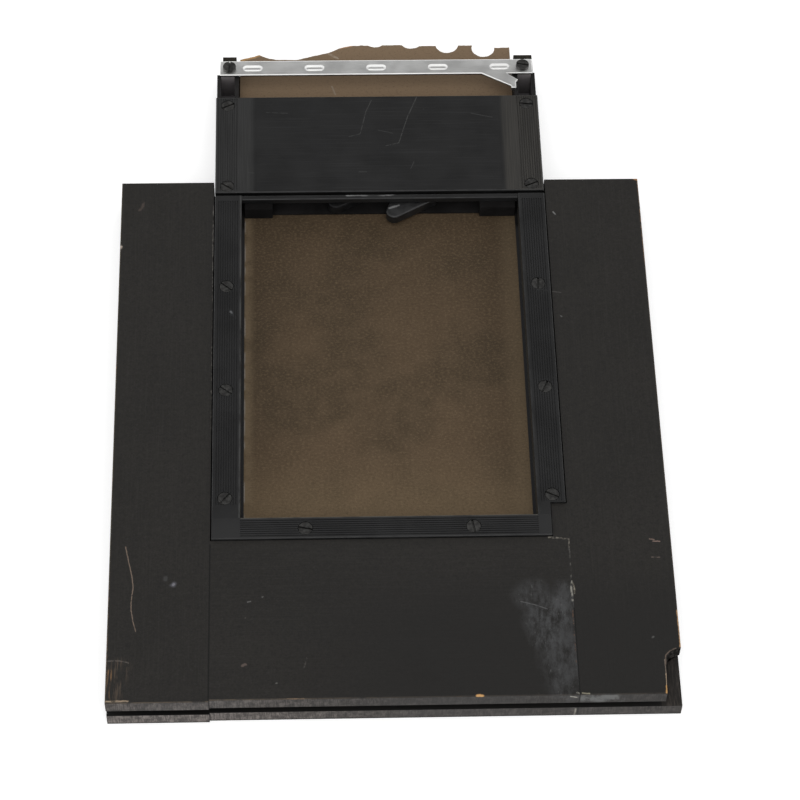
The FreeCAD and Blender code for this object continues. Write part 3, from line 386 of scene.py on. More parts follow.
def left_marks(paint):
    yield from strokes(paint, on_board, (
        (((6.6, 72.0), (7.9, 65.6), (9.6, 57.5), (10.2, 52.5),
          (9.5, 46.0), (9.6, 42.0), (10.5, 36.5), (11.7, 32.0)),
         0.42, 0.41, (0.17, 0.128, 0.100)),
        (((0.1, 18.5), (5.4, 18.5), (9.1, 17.6)), 0.5, 0.42, (0.085, 0.075, 0.068)),
        (((0.6, 0.2), (9.2, 0.2)), 0.8, 0.42, (0.30, 0.23, 0.16)),
        (((26.5, 53.6), (26.9, 54.3)), 2.2, 0.45, (0.070, 0.068, 0.078)),
        (((26.6, 53.5), (26.8, 53.9)), 1.0, 0.0, (0.170, 0.168, 0.190)),
        (((23.2, 56.0), (23.4, 57.0)), 1.7, 0.4, (0.040, 0.039, 0.038)),
        (((9.9, 252.0), (9.7, 249.8), (8.2, 247.5)), 1.2, 0.48, (0.055, 0.042, 0.036)),
        (((0.3, 226.6), (0.5, 227.2)), 1.3, 0.0, (0.42, 0.35, 0.30)),
        (((41.6, 250.0), (41.6, 205.0)), 0.7, 0.52, (0.13, 0.12, 0.11)),
        (((41.6, 205.0), (41.6, 130.0)), 0.6, 0.60, (0.10, 0.09, 0.08)),
        (((0.3, 60.0), (0.2, 4.0)), 0.5, 0.55, (0.12, 0.08, 0.05)),
        (((0.2, 262.0), (0.2, 60.0)), 0.5, 0.50, (0.055, 0.042, 0.022)),
    ))
    corner = paint.stroke(on_board((3.0, 3.0), (5.5, 15.5)), 8 * MM, wobble=1.0 * MM)
    scuffs = paint.step(paint.grain(0.0008, (1, 9, 1), seed=21), 0.46, 0.68)
    yield paint.both(corner, scuffs, 0.55), (0.105, 0.076, 0.054)
    edge = paint.stroke(on_board((0.8, 2.0), (1.2, 13.0)), 3 * MM, wobble=0.5 * MM)
    yield paint.both(edge, scuffs, 0.8), (0.20, 0.11, 0.05)


def rail_marks(paint):
    cream = (0.25, 0.24, 0.21)
    yield darker_end(paint)
    yield from smudge_marks(paint)
    yield from joint_filler(paint)
    yield from strokes(paint, on_board, (
        (((183.0, 73.9), (187.8, 73.5), (189.8, 73.1), (191.6, 72.9), (191.3, 69.0)),
         0.7, 0.47, (0.17, 0.155, 0.13)),
        (((191.3, 69.0), (191.2, 54.0)), 0.6, 0.54, (0.085, 0.082, 0.075)),
        (((191.4, 52.6), (190.9, 49.4), (191.3, 46.0), (191.2, 43.5)), 0.75, 0.47, cream),
        (((190.9, 40.0), (190.9, 15.0)), 0.5, 0.58, (0.085, 0.050, 0.032)),
        (((150.2, 0.1), (152.0, 0.1)), 1.3, 0.0, (0.55, 0.31, 0.12)),
        (((72.3, 0.1), (80.3, 0.1)), 0.6, 0.46, (0.16, 0.11, 0.07)),
        (((57.4, 45.0), (58.6, 45.3)), 0.6, 0.0, (0.10, 0.098, 0.095)),
        (((63.2, 47.3), (63.6, 47.5)), 0.6, 0.0, (0.08, 0.078, 0.075)),
        (((55.2, 15.6), (56.4, 15.9)), 1.1, 0.4, (0.095, 0.072, 0.062)),
        (((80.1, 13.6), (81.4, 18.5)), 0.5, 0.5, (0.06, 0.055, 0.05)),
        (((68.8, 7.3), (69.2, 7.4)), 0.6, 0.0, (0.10, 0.098, 0.09)),
        (((190.4, 1.0), (191.3, 0.5)), 0.6, 0.42, cream),
    ))


def smudge_marks(paint):
    """Grey filler rubbed over the paint beside the right joint."""
    grey = (0.066, 0.067, 0.069)
    texture = paint.step(paint.grain(0.004, (1, 2.2, 1), detail=6, rough=0.75, seed=30), 0.36, 0.62)
    flecks = paint.step(paint.grain(0.0011, (1, 2, 1), detail=4, rough=0.7, seed=33), 0.62, 0.70)
    for points, width in (
            (((174.5, 46.0), (180.0, 41.0)), 13), (((188.5, 48.0), (188.0, 36.0)), 9),
            (((176.0, 35.0), (179.5, 26.0)), 11), (((184.5, 36.0), (185.5, 6.0)), 15)):
        area = paint.stroke(on_board(*points), width * MM, wobble=1.5 * MM)
        yield paint.both(area, texture, 0.60), grey
        yield paint.both(area, flecks, 0.6), (0.100, 0.100, 0.098)
    scratch = paint.stroke(on_board((169.8, 43.4), (175.0, 42.0), (180.5, 39.8)), 0.45 * MM, broken=0.44)
    yield scratch, (0.085, 0.085, 0.085)


def joint_filler(paint):
    """Pale filler left in the right joint on the near face."""
    yield from strokes(paint, on_near_face, (
        (((190.6, 6.0), (190.5, 0.6)), 0.6, 0.42, (0.20, 0.19, 0.165)),
        (((188.0, 16.6), (190.4, 15.8)), 0.8, 0.40, (0.24, 0.23, 0.20)),
    ))


def darker_end(paint):
    """The board is a little darker towards its lower right."""
    near = paint.step(paint.at[1], BOARD_LOW + 0.03, BOARD_LOW + 0.07, 0.7, 0.0)
    return paint.both(near, paint.step(paint.at[0], JOINTS[0], 0.02)), (0.0095, 0.0088, 0.0080)


def right_marks(paint):
    yield darker_end(paint)
    smear = paint.stroke(on_near_face((195.0, 14.8), (206.0, 14.4)), 6.5 * MM, wobble=1.0 * MM)
    patchy = paint.step(paint.grain(0.003, detail=4, seed=51), 0.35, 0.6)
    yield paint.both(smear, patchy, paint.faces(1, -1), 0.7), (0.125, 0.127, 0.125)
    chip_x, chip_y = BOARD_RIGHT - CHIP_WIDE * MM, BOARD_LOW + CHIP_LONG * MM
    ledge = paint.both(paint.step(paint.at[0], chip_x, chip_x + 0.2 * MM),
                       paint.fall(paint.at[1], chip_y, chip_y + 0.2 * MM), paint.faces(2, 1),
                       paint.fall(paint.at[2], GROOVE_LOW + 0.0004, GROOVE_LOW + 0.0008))
    streaks = paint.grain(0.0009, (1, 9, 1), detail=5, rough=0.7, seed=40)
    yield ledge, paint.mix(paint.step(streaks, 0.42, 0.72), (0.017, 0.0145, 0.0125), (0.062, 0.052, 0.045))
    pale, orange = (0.42, 0.32, 0.22), (0.42, 0.25, 0.12)
    yield from strokes(paint, on_board, (
        (((227.1, 9.0), (227.0, 15.5)), 0.4, 0.36, (0.16, 0.13, 0.105)),
        (((227.0, 1.0), (227.2, 9.0)), 0.5, 0.33, pale),
        (((226.8, 0.5), (227.0, 3.5)), 0.9, 0.40, (0.50, 0.28, 0.10)),
        (((227.3, 13.0), (227.6, 17.5), (229.6, 19.6), (232.0, 20.6)), 0.45, 0.42, (0.12, 0.09, 0.07)),
        (((234.1, 38.0), (234.1, 21.5)), 0.8, 0.42, orange),
        (((232.6, 262.7), (233.8, 262.0)), 0.9, 0.38, (0.34, 0.19, 0.09)),
        (((234.0, 261.0), (234.0, 215.0)), 0.6, 0.52, (0.17, 0.10, 0.055)),
        (((225.2, 72.5), (227.0, 72.1)), 0.5, 0.40, (0.17, 0.12, 0.10)),
        (((226.6, 71.4), (229.4, 71.3)), 0.55, 0.38, (0.20, 0.14, 0.12)),
        (((225.4, 63.7), (228.8, 63.6)), 0.45, 0.42, (0.11, 0.085, 0.075)),
        (((222.9, 26.0), (223.2, 26.1)), 0.9, 0.0, (0.075, 0.075, 0.072)),
        (((190.5, 200.3), (195.5, 199.6)), 0.4, 0.42, (0.060, 0.056, 0.052)),
        (((194.6, 244.3), (195.5, 243.0)), 0.6, 0.0, (0.16, 0.16, 0.155)),
        (((194.7, 186.9), (195.0, 186.6)), 0.6, 0.0, (0.09, 0.09, 0.085)),
        (((192.6, 0.8), (195.4, 0.5)), 0.6, 0.44, (0.24, 0.22, 0.16)),
        (((191.9, 52.0), (192.3, 47.0)), 0.7, 0.5, (0.22, 0.20, 0.16)),
    ))


def broken_wood():
    """Dark splintered wood where the lip has broken away."""
    paint = Finish("broken_wood", rough=0.95, specular=0.05)
    streaks = paint.grain(0.0009, (1, 7, 2), detail=5, rough=0.7, seed=40)
    paint.put("Base Color", paint.mix(paint.step(streaks, 0.50, 0.68), (0.0045, 0.004, 0.0035),
                                      (0.055, 0.050, 0.046)))
    paint.bump(streaks, 0.0003, 0.6)
    return paint.material


def black_frame(name, marks=None, tone=1.0):
    """Satin black paint on the holder's rails and cover, rubbed grey along the edges."""
    paint = Finish(name, rough=0.5, specular=0.30)
    patches = paint.grain(0.02, detail=5, seed=3)
    fine = paint.grain(0.0005, detail=4, rough=0.7, seed=8)
    paint.colour = paint.mix(paint.step(patches, 0.35, 0.7),
                             [tone * part for part in (0.0092, 0.0092, 0.0095)],
                             [tone * part for part in (0.0138, 0.0138, 0.0141)])
    paint.coat(paint.step(fine, 0.55, 0.8, 0.0, 0.4), (0.023, 0.023, 0.023))
    dust = paint.specks(0.006, 0.00028, 0.2, seed=0.2)
    paint.coat(paint.both(dust, 0.3), (0.10, 0.10, 0.10))
    worn = paint.grain(0.007, detail=6, rough=0.65, seed=12)
    rubbed = paint.both(paint.edges(), paint.step(worn, 0.3, 0.62, 0.15, 0.8))
    paint.coat(rubbed, (0.036, 0.036, 0.036))
    for mask, tint in (marks(paint) if marks else ()):
        paint.coat(mask, tint)
    paint.put("Roughness", paint.step(patches, 0.3, 0.75, 0.42, 0.6))
    paint.bump(fine, 0.00004, 0.35)
    return paint.material


def window_edge_marks(paint):
    """Paint rubbed along the window's edge, and painted light on the inner walls, which are coloured lighter
    than their shade.
    """
    # Painted light: the inner walls below the cover's height are coloured lighter to stand for light reaching
    # them.
    wall = paint.both(paint.fall(paint.across, WINDOW_HALF + 0.0001, WINDOW_HALF + 0.0002),
                      paint.fall(paint.at[2], COVER_LOW.z - 0.0001, COVER_LOW.z))
    yield wall, (0.026, 0.025, 0.021)
    worn = paint.step(paint.grain(0.005, (1, 2.5, 1), detail=5, rough=0.65, seed=22), 0.36, 0.6)
    edge = paint.fall(paint.across, WINDOW_HALF + 0.0003, WINDOW_HALF + 0.0011)
    side = paint.step(paint.at[0], -0.01, 0.0, 1.0, 0.35)
    yield paint.both(edge, paint.faces(2, 1), worn, side), (0.05, 0.05, 0.049)
    yield from rail_smudge(paint)


def rail_smudge(paint):
    """A pale smudge on the left rail and a scratch across the right one."""
    yield from strokes(paint, on_rails, (
        (((-67.9, 22.8), (-65.9, 19.6)), 2.8, 0.50, (0.050, 0.053, 0.056)),
        (((-67.0, 22.0), (-66.6, 21.4)), 1.0, 0.0, (0.120, 0.123, 0.128)),
        (((68.6, 32.4), (74.0, 31.8)), 0.4, 0.45, (0.055, 0.055, 0.054)),
    ))


def low_rail_marks(paint):
    """A pale line along the bottom rail's window edge."""
    edge = paint.step(paint.at[1], WINDOW_LOW - 0.0005, WINDOW_LOW - 0.0002)
    inner = paint.fall(paint.across, WINDOW_HALF - 0.0004, WINDOW_HALF)
    worn = paint.step(paint.grain(0.006, (2, 1, 1), detail=5, seed=23), 0.3, 0.55, 0.2, 0.8)
    yield paint.both(edge, inner, worn), (0.10, 0.092, 0.078)


def cover_marks(paint):
    crosswise = paint.grain(0.00045, (60, 1, 1), detail=3, seed=17)
    centre = paint.fall(paint.across, 0.0550, 0.0562)
    yield paint.both(centre, paint.step(crosswise, 0.5, 0.75, 0.0, 0.5)), (0.026, 0.026, 0.027)
    paint.bump(paint.both(centre, crosswise), 0.00006, 0.6)
    beside = paint.both(paint.step(paint.across, 0.0560, 0.0590), paint.faces(2, 1),
                        paint.step(paint.grain(0.0005, (1, 60, 1), detail=3, seed=19), 0.35, 0.65, 0.55, 1.0))
    yield paint.both(beside, paint.fall(paint.at[0], -0.01, 0.01), 0.9), (0.031, 0.031, 0.0306)
    yield paint.both(beside, paint.step(paint.at[0], -0.01, 0.01), 0.9), (0.046, 0.043, 0.038)
    faint = (0.034, 0.034, 0.034)
    yield from strokes(paint, on_cover, (
        (((18.6, 55.4), (13.7, 42.8), (11.4, 34.9), (9.4, 27.7), (3.5, 26.1)),
         0.42, 0.42, (0.048, 0.048, 0.047)),
        (((-2.7, 52.9), (-5.4, 46.3), (-7.1, 38.4), (-8.3, 33.2), (-13.4, 31.6)),
         0.4, 0.43, (0.042, 0.042, 0.041)),
        (((-51.3, 46.2), (-41.5, 45.7)), 0.4, 0.42, faint), (((43.2, 44.8), (52.9, 42.3)), 0.4, 0.42, faint),
        (((-59.4, 11.3), (-56.9, 11.0)), 0.4, 0.4, faint), (((14.4, 12.8), (16.0, 16.6)), 0.4, 0.4, faint),
        (((-9.2, 11.1), (-5.7, 11.1)), 0.4, 0.4, faint), (((0.0, 35.3), (6.8, 33.4)), 0.4, 0.42, faint),
    ))


def crossbar_marks(paint):
    far = BAR_HIGH.y - 0.5 * MM
    polished = [Vector((x * MM, far, BAR_HIGH.z)) for x in (-15, 6)]
    streaks = paint.step(paint.grain(0.0006, (14, 1, 1), seed=3), 0.42, 0.6)
    rubbed = paint.stroke(polished, 1.0 * MM, wobble=0.2 * MM, broken=0.4)
    yield paint.both(rubbed, streaks), (0.19, 0.19, 0.19)


def channel_black(name, tone, specular, rubbed):
    """Dull black inside and around the channels; rubbed is how far the edges have worn, and also turns on the
    painted light in the trough.
    """
    paint = Finish(name, rough=0.8, specular=specular)
    patches = paint.grain(0.012, detail=5, seed=5)
    fine = paint.grain(0.0006, detail=4, seed=7)
    paint.colour = paint.mix(paint.step(patches, 0.35, 0.7),
                             [tone * part for part in (0.0090, 0.0085, 0.0085)],
                             [tone * part for part in (0.0160, 0.0150, 0.0150)])
    worn = paint.step(paint.grain(0.005, detail=6, rough=0.7, seed=3), 0.4, 0.65)
    paint.coat(paint.both(paint.edges(), worn, rubbed), (0.060, 0.052, 0.036))
    off_middle = paint.math("ABSOLUTE", paint.math("SUBTRACT", paint.across, CHANNEL_MIDDLE))
    # The trough is the channel's floor, and the arms are the gate plate's, beside the slide; both are
    # coloured lighter as painted light, standing for light that reaches them in their shade.
    trough = paint.both(paint.fall(off_middle, 0.0031, 0.0033), rubbed)
    paint.coat(trough, (0.16, 0.15, 0.155))
    arms = paint.both(paint.step(paint.across, SEEN_HALF - 0.0003, SEEN_HALF - 0.0001),
                      paint.fall(paint.across, WINDOW_HALF, WINDOW_HALF + 0.0002),
                      paint.fall(paint.at[1], BAR_LOW.y - 0.012, BAR_LOW.y - 0.008))
    paint.coat(arms, (0.027, 0.027, 0.028))
    scratches = paint.step(paint.grain(0.0007, (1, 8, 1), detail=3, rough=0.7, seed=11), 0.66, 0.74)
    paint.coat(paint.both(scratches, rubbed, 0.5), (0.045, 0.042, 0.040))
    paint.bump(fine, 0.00006, 0.5)
    return paint.material


def end_block_wood():
    """Dark stained end blocks with an olive cast where the stain has rubbed."""
    paint = Finish("end_block_wood", rough=0.7, specular=0.2)
    streaks = paint.grain(0.0006, (1, 14, 1), detail=4, seed=3)
    paint.colour = paint.mix(paint.step(streaks, 0.35, 0.7), (0.010, 0.0090, 0.0065), (0.030, 0.025, 0.015))
    # Painted light: the plug's near face, deep in the channel's end, is coloured light grey to stand for
    # light reaching it.
    deep = paint.both(paint.faces(1, -1),
                      paint.fall(paint.at[1], PLUG_FACE + 0.0003, PLUG_FACE + 0.0006))
    paint.coat(deep, (0.150, 0.138, 0.140))
    worn = paint.step(paint.grain(0.003, detail=5, seed=6), 0.42, 0.62)
    paint.coat(paint.both(paint.edges(), worn), (0.085, 0.066, 0.036))
    paint.bump(streaks, 0.0001, 0.5)
    return paint.material


def bare_aluminium():
    """Bright drawn aluminium, brushed along its length, with dull patches and fine dents."""
    metal = Finish("bare_aluminium", rough=0.34, metal=1.0)
    brushed = metal.grain(0.00016, (90, 1, 1), detail=2, seed=2)
    patches = metal.grain(0.014, detail=5, seed=5)
    metal.colour = metal.mix(metal.step(patches, 0.3, 0.7), (0.80, 0.80, 0.785), (0.88, 0.88, 0.87))
    metal.coat(metal.step(brushed, 0.45, 0.8, 0.0, 0.3), (0.62, 0.62, 0.61))
    metal.coat(metal.both(metal.specks(0.005, 0.0003, 0.3), 0.6), (0.25, 0.25, 0.24))
    # Painted shade: the lowest part of the strip's rolled edge, away from the tab, is coloured near black for
    # the shadow under the strip.
    under = metal.fall(metal.at[2], STRIP_SEAT + 0.00055, STRIP_SEAT + 0.00075)
    lug = metal.step(metal.at[1], STRIP_HIGH.y - 0.012, STRIP_HIGH.y - 0.010)
    metal.coat(metal.both(under, lug), (0.02, 0.02, 0.02))
    metal.put("Roughness", metal.step(metal.grain(0.009, detail=5, seed=9), 0.3, 0.7, 0.28, 0.42))
    metal.bump(brushed, 0.00003, 0.25)
    metal.bump(metal.grain(0.004, detail=2, seed=12), 0.00012, 0.2)
    return metal.material


def brown_fibre():
    """Brown pressed fibre sheet: mottled, with short fibres, darker where it sits in the window, partly as
    painted shade.
    """
    board = Finish("brown_fibre", rough=0.65, specular=0.12)
    clouds = board.grain(0.034, detail=2.5, rough=0.4, seed=1)
    blotches = board.grain(0.0085, detail=2.5, rough=0.4, seed=6)
    speckle = board.grain(0.0010, (1.3, 1, 1), detail=4, rough=0.8, seed=2)
    fibres = board.grain(0.0005, (7, 1, 1), detail=3, seed=8)
    board.colour = board.mix(board.step(clouds, 0.38, 0.62), (0.072, 0.0502, 0.0298),
                             (0.098, 0.0665, 0.0395))
    board.coat(board.step(blotches, 0.36, 0.70, 0.0, 0.34), (0.122, 0.084, 0.051))
    beside = board.step(board.across, 0.026, 0.052, 0.0, 0.26)
    board.coat(beside, (0.036, 0.027, 0.017))

    # Lighter at the far end beyond the cover: partly handled and faded, partly painted shade, as the part in
    # the window is kept darker for the recess's shade.
    far_end = board.step(board.at[1], COVER_LOW.y + 0.04, COVER_HIGH.y)
    board.coat(board.both(far_end, 0.9), (0.255, 0.178, 0.112))
    # Painted shadow: darker just below the crossbar and under the cover, where their shade falls on the
    # sheet.
    upper = board.both(board.step(board.at[1], -0.02, BAR_LOW.y - 0.006),
                       board.fall(board.at[1], COVER_LOW.y, COVER_HIGH.y))
    board.coat(board.both(upper, 0.36), (0.030, 0.021, 0.012))
    # Lighter towards the near end: with the darkening above, a gradient along the window that is partly the
    # sheet's own colour and partly painted shade.
    lower = board.step(board.at[1], -0.04, SLIDE_LOW.y, 0.0, 1.0)
    board.coat(board.both(lower, 0.55), (0.20, 0.142, 0.082))
    # Painted light: lighter bands beside the window's sides, set against the shade the walls cast there.
    left_band = board.both(board.step(board.at[0], -SEEN_HALF, -SEEN_HALF + 0.0055, 0.9, 0.0),
                           board.step(blotches, 0.3, 0.55, 0.55, 1.0))
    right_band = board.step(board.at[0], SEEN_HALF - 0.011, SEEN_HALF, 0.0, 0.38)
    board.coat(board.both(board.either(left_band, right_band), board.math("SUBTRACT", 1.0, far_end)),
               (0.195, 0.144, 0.088))
    rubbed = board.both(board.step(board.at[0], -SEEN_HALF + 0.0003, -SEEN_HALF + 0.0007, 0.9, 0.0),
                        board.step(blotches, 0.4, 0.55))
    board.coat(board.both(rubbed, board.math("SUBTRACT", 1.0, far_end)), (0.26, 0.23, 0.20))
    board.coat(board.step(speckle, 0.50, 0.66, 0.0, 0.40), (0.202, 0.146, 0.086))
    board.coat(board.step(speckle, 0.32, 0.50, 0.34, 0.0), (0.034, 0.024, 0.014))
    board.coat(board.step(fibres, 0.6, 0.8, 0.0, 0.25), (0.17, 0.125, 0.083))
    # The first row is a painted highlight: a pale streak where a lifted torn flap catches light.
    for mask, tint in strokes(board, on_slide, (
            (((-21.8, -5.3), (-17.8, -8.5)), 1.1, 0.42, (0.36, 0.29, 0.22)),
            (((-20.7, -25.4), (-19.2, -30.3)), 0.8, 0.42, (0.29, 0.23, 0.17)),
            (((-63.2, -8.6), (-57.0, -6.7), (-54.9, -5.8)), 2.0, 0.3, (0.52, 0.31, 0.135)),
            (((-16.4, -1.8), (-11.6, -0.6)), 1.2, 0.35, (0.62, 0.33, 0.17)),
            (((-63.3, -9.0), (-63.3, -12.0)), 0.8, 0.3, (0.40, 0.26, 0.13)))):
        board.coat(mask, tint)

    torn = board.both(board.step(board.at[1], SLIDE_HIGH.y - 0.012, SLIDE_HIGH.y - 0.009),
                      board.fall(board.math("ABSOLUTE", board.facing[2]), 0.6, 0.95))
    plies = board.step(board.grain(0.002, seed=5), 0.4, 0.6)
    fresh = board.mix(plies, (0.20, 0.13, 0.05), (0.11, 0.078, 0.036))
    board.coat(torn, fresh)
    board.put("Roughness", board.step(clouds, 0.3, 0.7, 0.52, 0.68))
    board.bump(speckle, 0.00007, 0.5)
    board.bump(fibres, 0.00004, 0.4)
    board.bump(blotches, 0.0002, 0.12)
    return board.material


def black_plastic(name, specular, tone):
    """Moulded black plastic with fine handling marks. Its grey top is partly rubbing and partly painted
    light, its rims carry a painted highlight, and tone scales both, a low tone painting a lever in shade.
    """
    moulded = Finish(name, specular=specular)
    patches = moulded.grain(0.003, detail=4, seed=4)
    fine = moulded.grain(0.0004, detail=3, seed=6)
    moulded.colour = moulded.mix(moulded.step(patches, 0.3, 0.7), (0.006, 0.006, 0.0062),
                                 (0.010, 0.010, 0.0104))
    # The grey top faces: partly rubbed, partly painted light from above.
    moulded.coat(moulded.both(moulded.faces(2, 1), moulded.step(patches, 0.35, 0.6, 0.3, 0.8)),
                 [tone * part for part in (0.022, 0.022, 0.0225)])
    # Painted highlight along the rounded rims.
    moulded.coat(moulded.both(moulded.rims(0.08, 0.3), moulded.step(patches, 0.4, 0.65), 0.35),
                 [tone * part for part in (0.05, 0.05, 0.051)])
    # Painted highlight: a pale streak on the right lever's top near its nose.
    worn = moulded.stroke([Vector((0.0042, 0.0811, LEVER_TOP)), Vector((0.0084, 0.0825, LEVER_TOP))],
                          0.9 * MM, wobble=0.3 * MM, broken=0.38)
    moulded.coat(worn, (0.17, 0.17, 0.17))
    moulded.put("Roughness", moulded.step(patches, 0.3, 0.7, 0.32, 0.52))
    moulded.bump(fine, 0.00004, 0.4)
    return moulded.material


def velvet_pile():
    """Short black pile that catches light at a slant."""
    pile = Finish("velvet", rough=0.95, specular=0.05)
    pile.put("Sheen Weight", 0.5)
    pile.put("Sheen Roughness", 0.4)
    tufts = pile.grain(0.0004, (1, 2, 1), detail=3)
    nap = pile.grain(0.006, (1, 3, 1), detail=4, seed=5)
    colour = pile.mix(pile.step(tufts, 0.3, 0.7), (0.004, 0.004, 0.0045), (0.014, 0.0135, 0.014))
    pile.put("Base Color", pile.mix(pile.step(nap, 0.4, 0.7, 0.0, 0.5), colour, (0.022, 0.021, 0.022)))
    pile.bump(tufts, 0.00025, 0.8)
    return pile.material


def blackened_screw():
    """Blackened steel, turned, rubbed to grey metal on the rim and the slot's edges."""
    steel = Finish("screw_black", rough=0.45, metal=0.65)
    patches = steel.grain(0.0016, detail=5, seed=2)
    steel.colour = steel.mix(steel.step(patches, 0.35, 0.7), (0.030, 0.029, 0.028), (0.062, 0.061, 0.058))
    rubbed = steel.both(steel.either(steel.rims(), steel.edges()), steel.step(patches, 0.3, 0.6, 0.3, 1.0))
    steel.coat(rubbed, (0.125, 0.122, 0.118))
    steel.put("Roughness", steel.step(patches, 0.3, 0.7, 0.38, 0.58))
    steel.bump(steel.grain(0.0003, detail=3, seed=9), 0.00003, 0.5)
    return steel.material


def spring_steel():
    """Blued spring steel with lengthwise rolling lines."""
    steel = Finish("spring_steel", rough=0.3, metal=1.0)
    rolled = steel.grain(0.0002, (80, 1, 1), detail=2)
    steel.put("Base Color", steel.mix(steel.step(steel.grain(0.01, seed=3), 0.3, 0.7),
                                      (0.38, 0.38, 0.40), (0.50, 0.50, 0.51)))
    steel.put("Roughness", steel.step(rolled, 0.3, 0.7, 0.24, 0.4))
    steel.bump(rolled, 0.00002, 0.3)
    return steel.material


def film_emulsion():
    """Unexposed sheet film: a dull purple-grey emulsion."""
    film = Finish("film", rough=0.36, specular=0.5)
    clouds = film.grain(0.03, detail=4, seed=3)
    film.put("Base Color", film.mix(film.step(clouds, 0.3, 0.7),
                                    (0.175, 0.165, 0.205), (0.205, 0.195, 0.235)))
    film.put("Roughness", film.step(film.grain(0.012, detail=5, seed=6), 0.35, 0.7, 0.28, 0.48))
    film.bump(film.grain(0.0006, detail=3), 0.00001, 0.3)
    return film.material


def stained_board(name, dark, light):
    """Hardboard or wood in the holder's inside, stained or bare, with its grain along Y."""
    board = Finish(name, rough=0.72, specular=0.2)
    streaks = board.grain(0.0009, (1, 22, 1), detail=5, rough=0.6)
    rings = board.grain(0.006, (1, 14, 1), detail=3, seed=5)
    colour = board.mix(board.step(streaks, 0.3, 0.7), dark, light)
    board.put("Base Color", board.mix(board.step(rings, 0.45, 0.6, 0.0, 0.45), colour, dark))
    board.bump(streaks, 0.0001, 0.5)
    return board.material


# ---------------------------------------------------------------- shapes

# Lengths here are in mm. How far the edges of each kind of piece are rounded
WOOD_EDGE, RAIL_EDGE, BAR_EDGE, PLATE_EDGE = 0.12, 0.1, 0.12, 0.15
BLOCK_EDGE, SCREW_EDGE, LEVER_EDGE = 0.25, 0.12, 0.1
# The slide's torn end: where it starts, its points' spacing, and the noise along it (waves per mm, and reach)
TORN_LOW = SLIDE_HIGH.y / MM - 10.0
TORN_STEP = 0.55
TORN_COARSE, TORN_FINE = 0.55, 1.9
TORN_SWAY, TORN_SPIKES = 0.8, 0.22
# Its plies: height within the sheet's thickness, and how far back each is broken
TORN_PLIES = ((0.0, 0.30), (0.25, 0.06), (0.55, 0.12), (0.8, 0.26), (1.0, 0.55))
SLIDE_THICK = (SLIDE_HIGH.z - SLIDE_LOW.z) / MM
# The chip's broken face: how far inside the chip it starts, the heights it is cut and roughened from, the
# shortest edge that is cut, into how many, and how deep the roughness goes
CHIP_MARGIN = 0.5
CHIP_FOOT, CHIP_ROUGH = 11.0, 11.3
CHIP_SHORTEST, CHIP_CUTS, CHIP_DEPTH = 1.2, 5, 0.35
# The end strip: rise and inset up its rolled edge, its tab's outline, and its ovals
STRIP_WIDE = 8.6
STRIP_EDGE = ((0.0, 0.15), (0.2, 0.0), (0.75, 0.0), (1.0, 0.12), (1.14, 0.34), (1.2, 0.62))
TAB = ((49.1, 0.0), (62.6, 149.3), (62.6, 148.2), (65.0, 148.2), (65.0, 151.6), (66.0, 153.2), (60.9, 0.0))
# The lug under the tab: its outline, then rise and inset at its foot, and under the strip
LUG = ((62.6, 148.2), (65.0, 148.2), (65.0, 149.2), (62.6, 149.2))
LUG_FOOT, LUG_HEAD = ((0.0, 0.2), (0.25, 0.0)), ((0.3, 0.0), (0.5, 0.2))
OVALS, OVAL_PITCH, OVAL_INSET = 5, 28.8, 4.6
OVAL_HALF = (4.7, 1.8)
# Each ring up an oval: inset, shift towards the near edge, rise; its near side is steep, its far side gentle
OVAL_PROFILE = ((0.0, 0.0, 0.0), (0.10, 0.02, 0.05), (0.30, 0.17, 0.16),
                (1.12, 0.72, 0.60), (1.40, 0.80, 0.67))
# Vertices closer than this are one; faces flatter than this are one; edges sharper than this stay sharp
WELD = 0.002
FLAT = math.radians(0.8)
SHARP = math.radians(32)
# Smallest divisor of a corner's shift, so that a sharp corner isn't pushed too far
MITRE_LIMIT = 0.6


def bmesh_of(node):
    """The CAD node's shape as a bmesh in millimetres, with its triangles merged into plain faces."""
    bm = bmesh.new()
    bm.from_mesh(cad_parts[node].data)
    bmesh.ops.scale(bm, vec=(1 / MM,) * 3, verts=bm.verts)
    bmesh.ops.remove_doubles(bm, verts=bm.verts, dist=WELD)
    bmesh.ops.dissolve_limit(bm, angle_limit=FLAT, verts=bm.verts, edges=bm.edges)
    return bm


def soften(bm, width, segments=2):
    """Round the sharp outer edges."""
    bm.normal_update()
    edges = [edge for edge in bm.edges
             if edge.is_manifold and edge.is_convex and edge.calc_face_angle() > SHARP]
    bmesh.ops.bevel(bm, geom=edges, offset=width, offset_type="OFFSET", segments=segments,
                    profile=0.5, affect="EDGES", clamp_overlap=True, miter_outer="ARC")


def piece_from(bm, node, body, material, smooth=True):
    """Turn a bmesh in millimetres into a smooth-shaded piece that stands for the CAD node."""
    bmesh.ops.scale(bm, vec=(MM,) * 3, verts=bm.verts)
    bm.normal_update()
    for face in bm.faces:
        face.smooth = smooth
    for edge in bm.edges:
        edge.smooth = not (edge.is_manifold and edge.calc_face_angle() > SHARP)
    mesh = bpy.data.meshes.new(node + "_skin")
    bm.to_mesh(mesh)
    bm.free()
    piece = bpy.data.objects.new(node + "_skin", mesh)
    bpy.context.scene.collection.objects.link(piece)
    weighted = piece.modifiers.new("normals", "WEIGHTED_NORMAL")
    weighted.keep_sharp = True
    mesh.materials.append(material)
    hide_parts(node)
    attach(piece, body)
    return piece


def softened(node, width, material, body="root", segments=2):
    bm = bmesh_of(node)
    soften(bm, width, segments)
    return piece_from(bm, node, body, material)


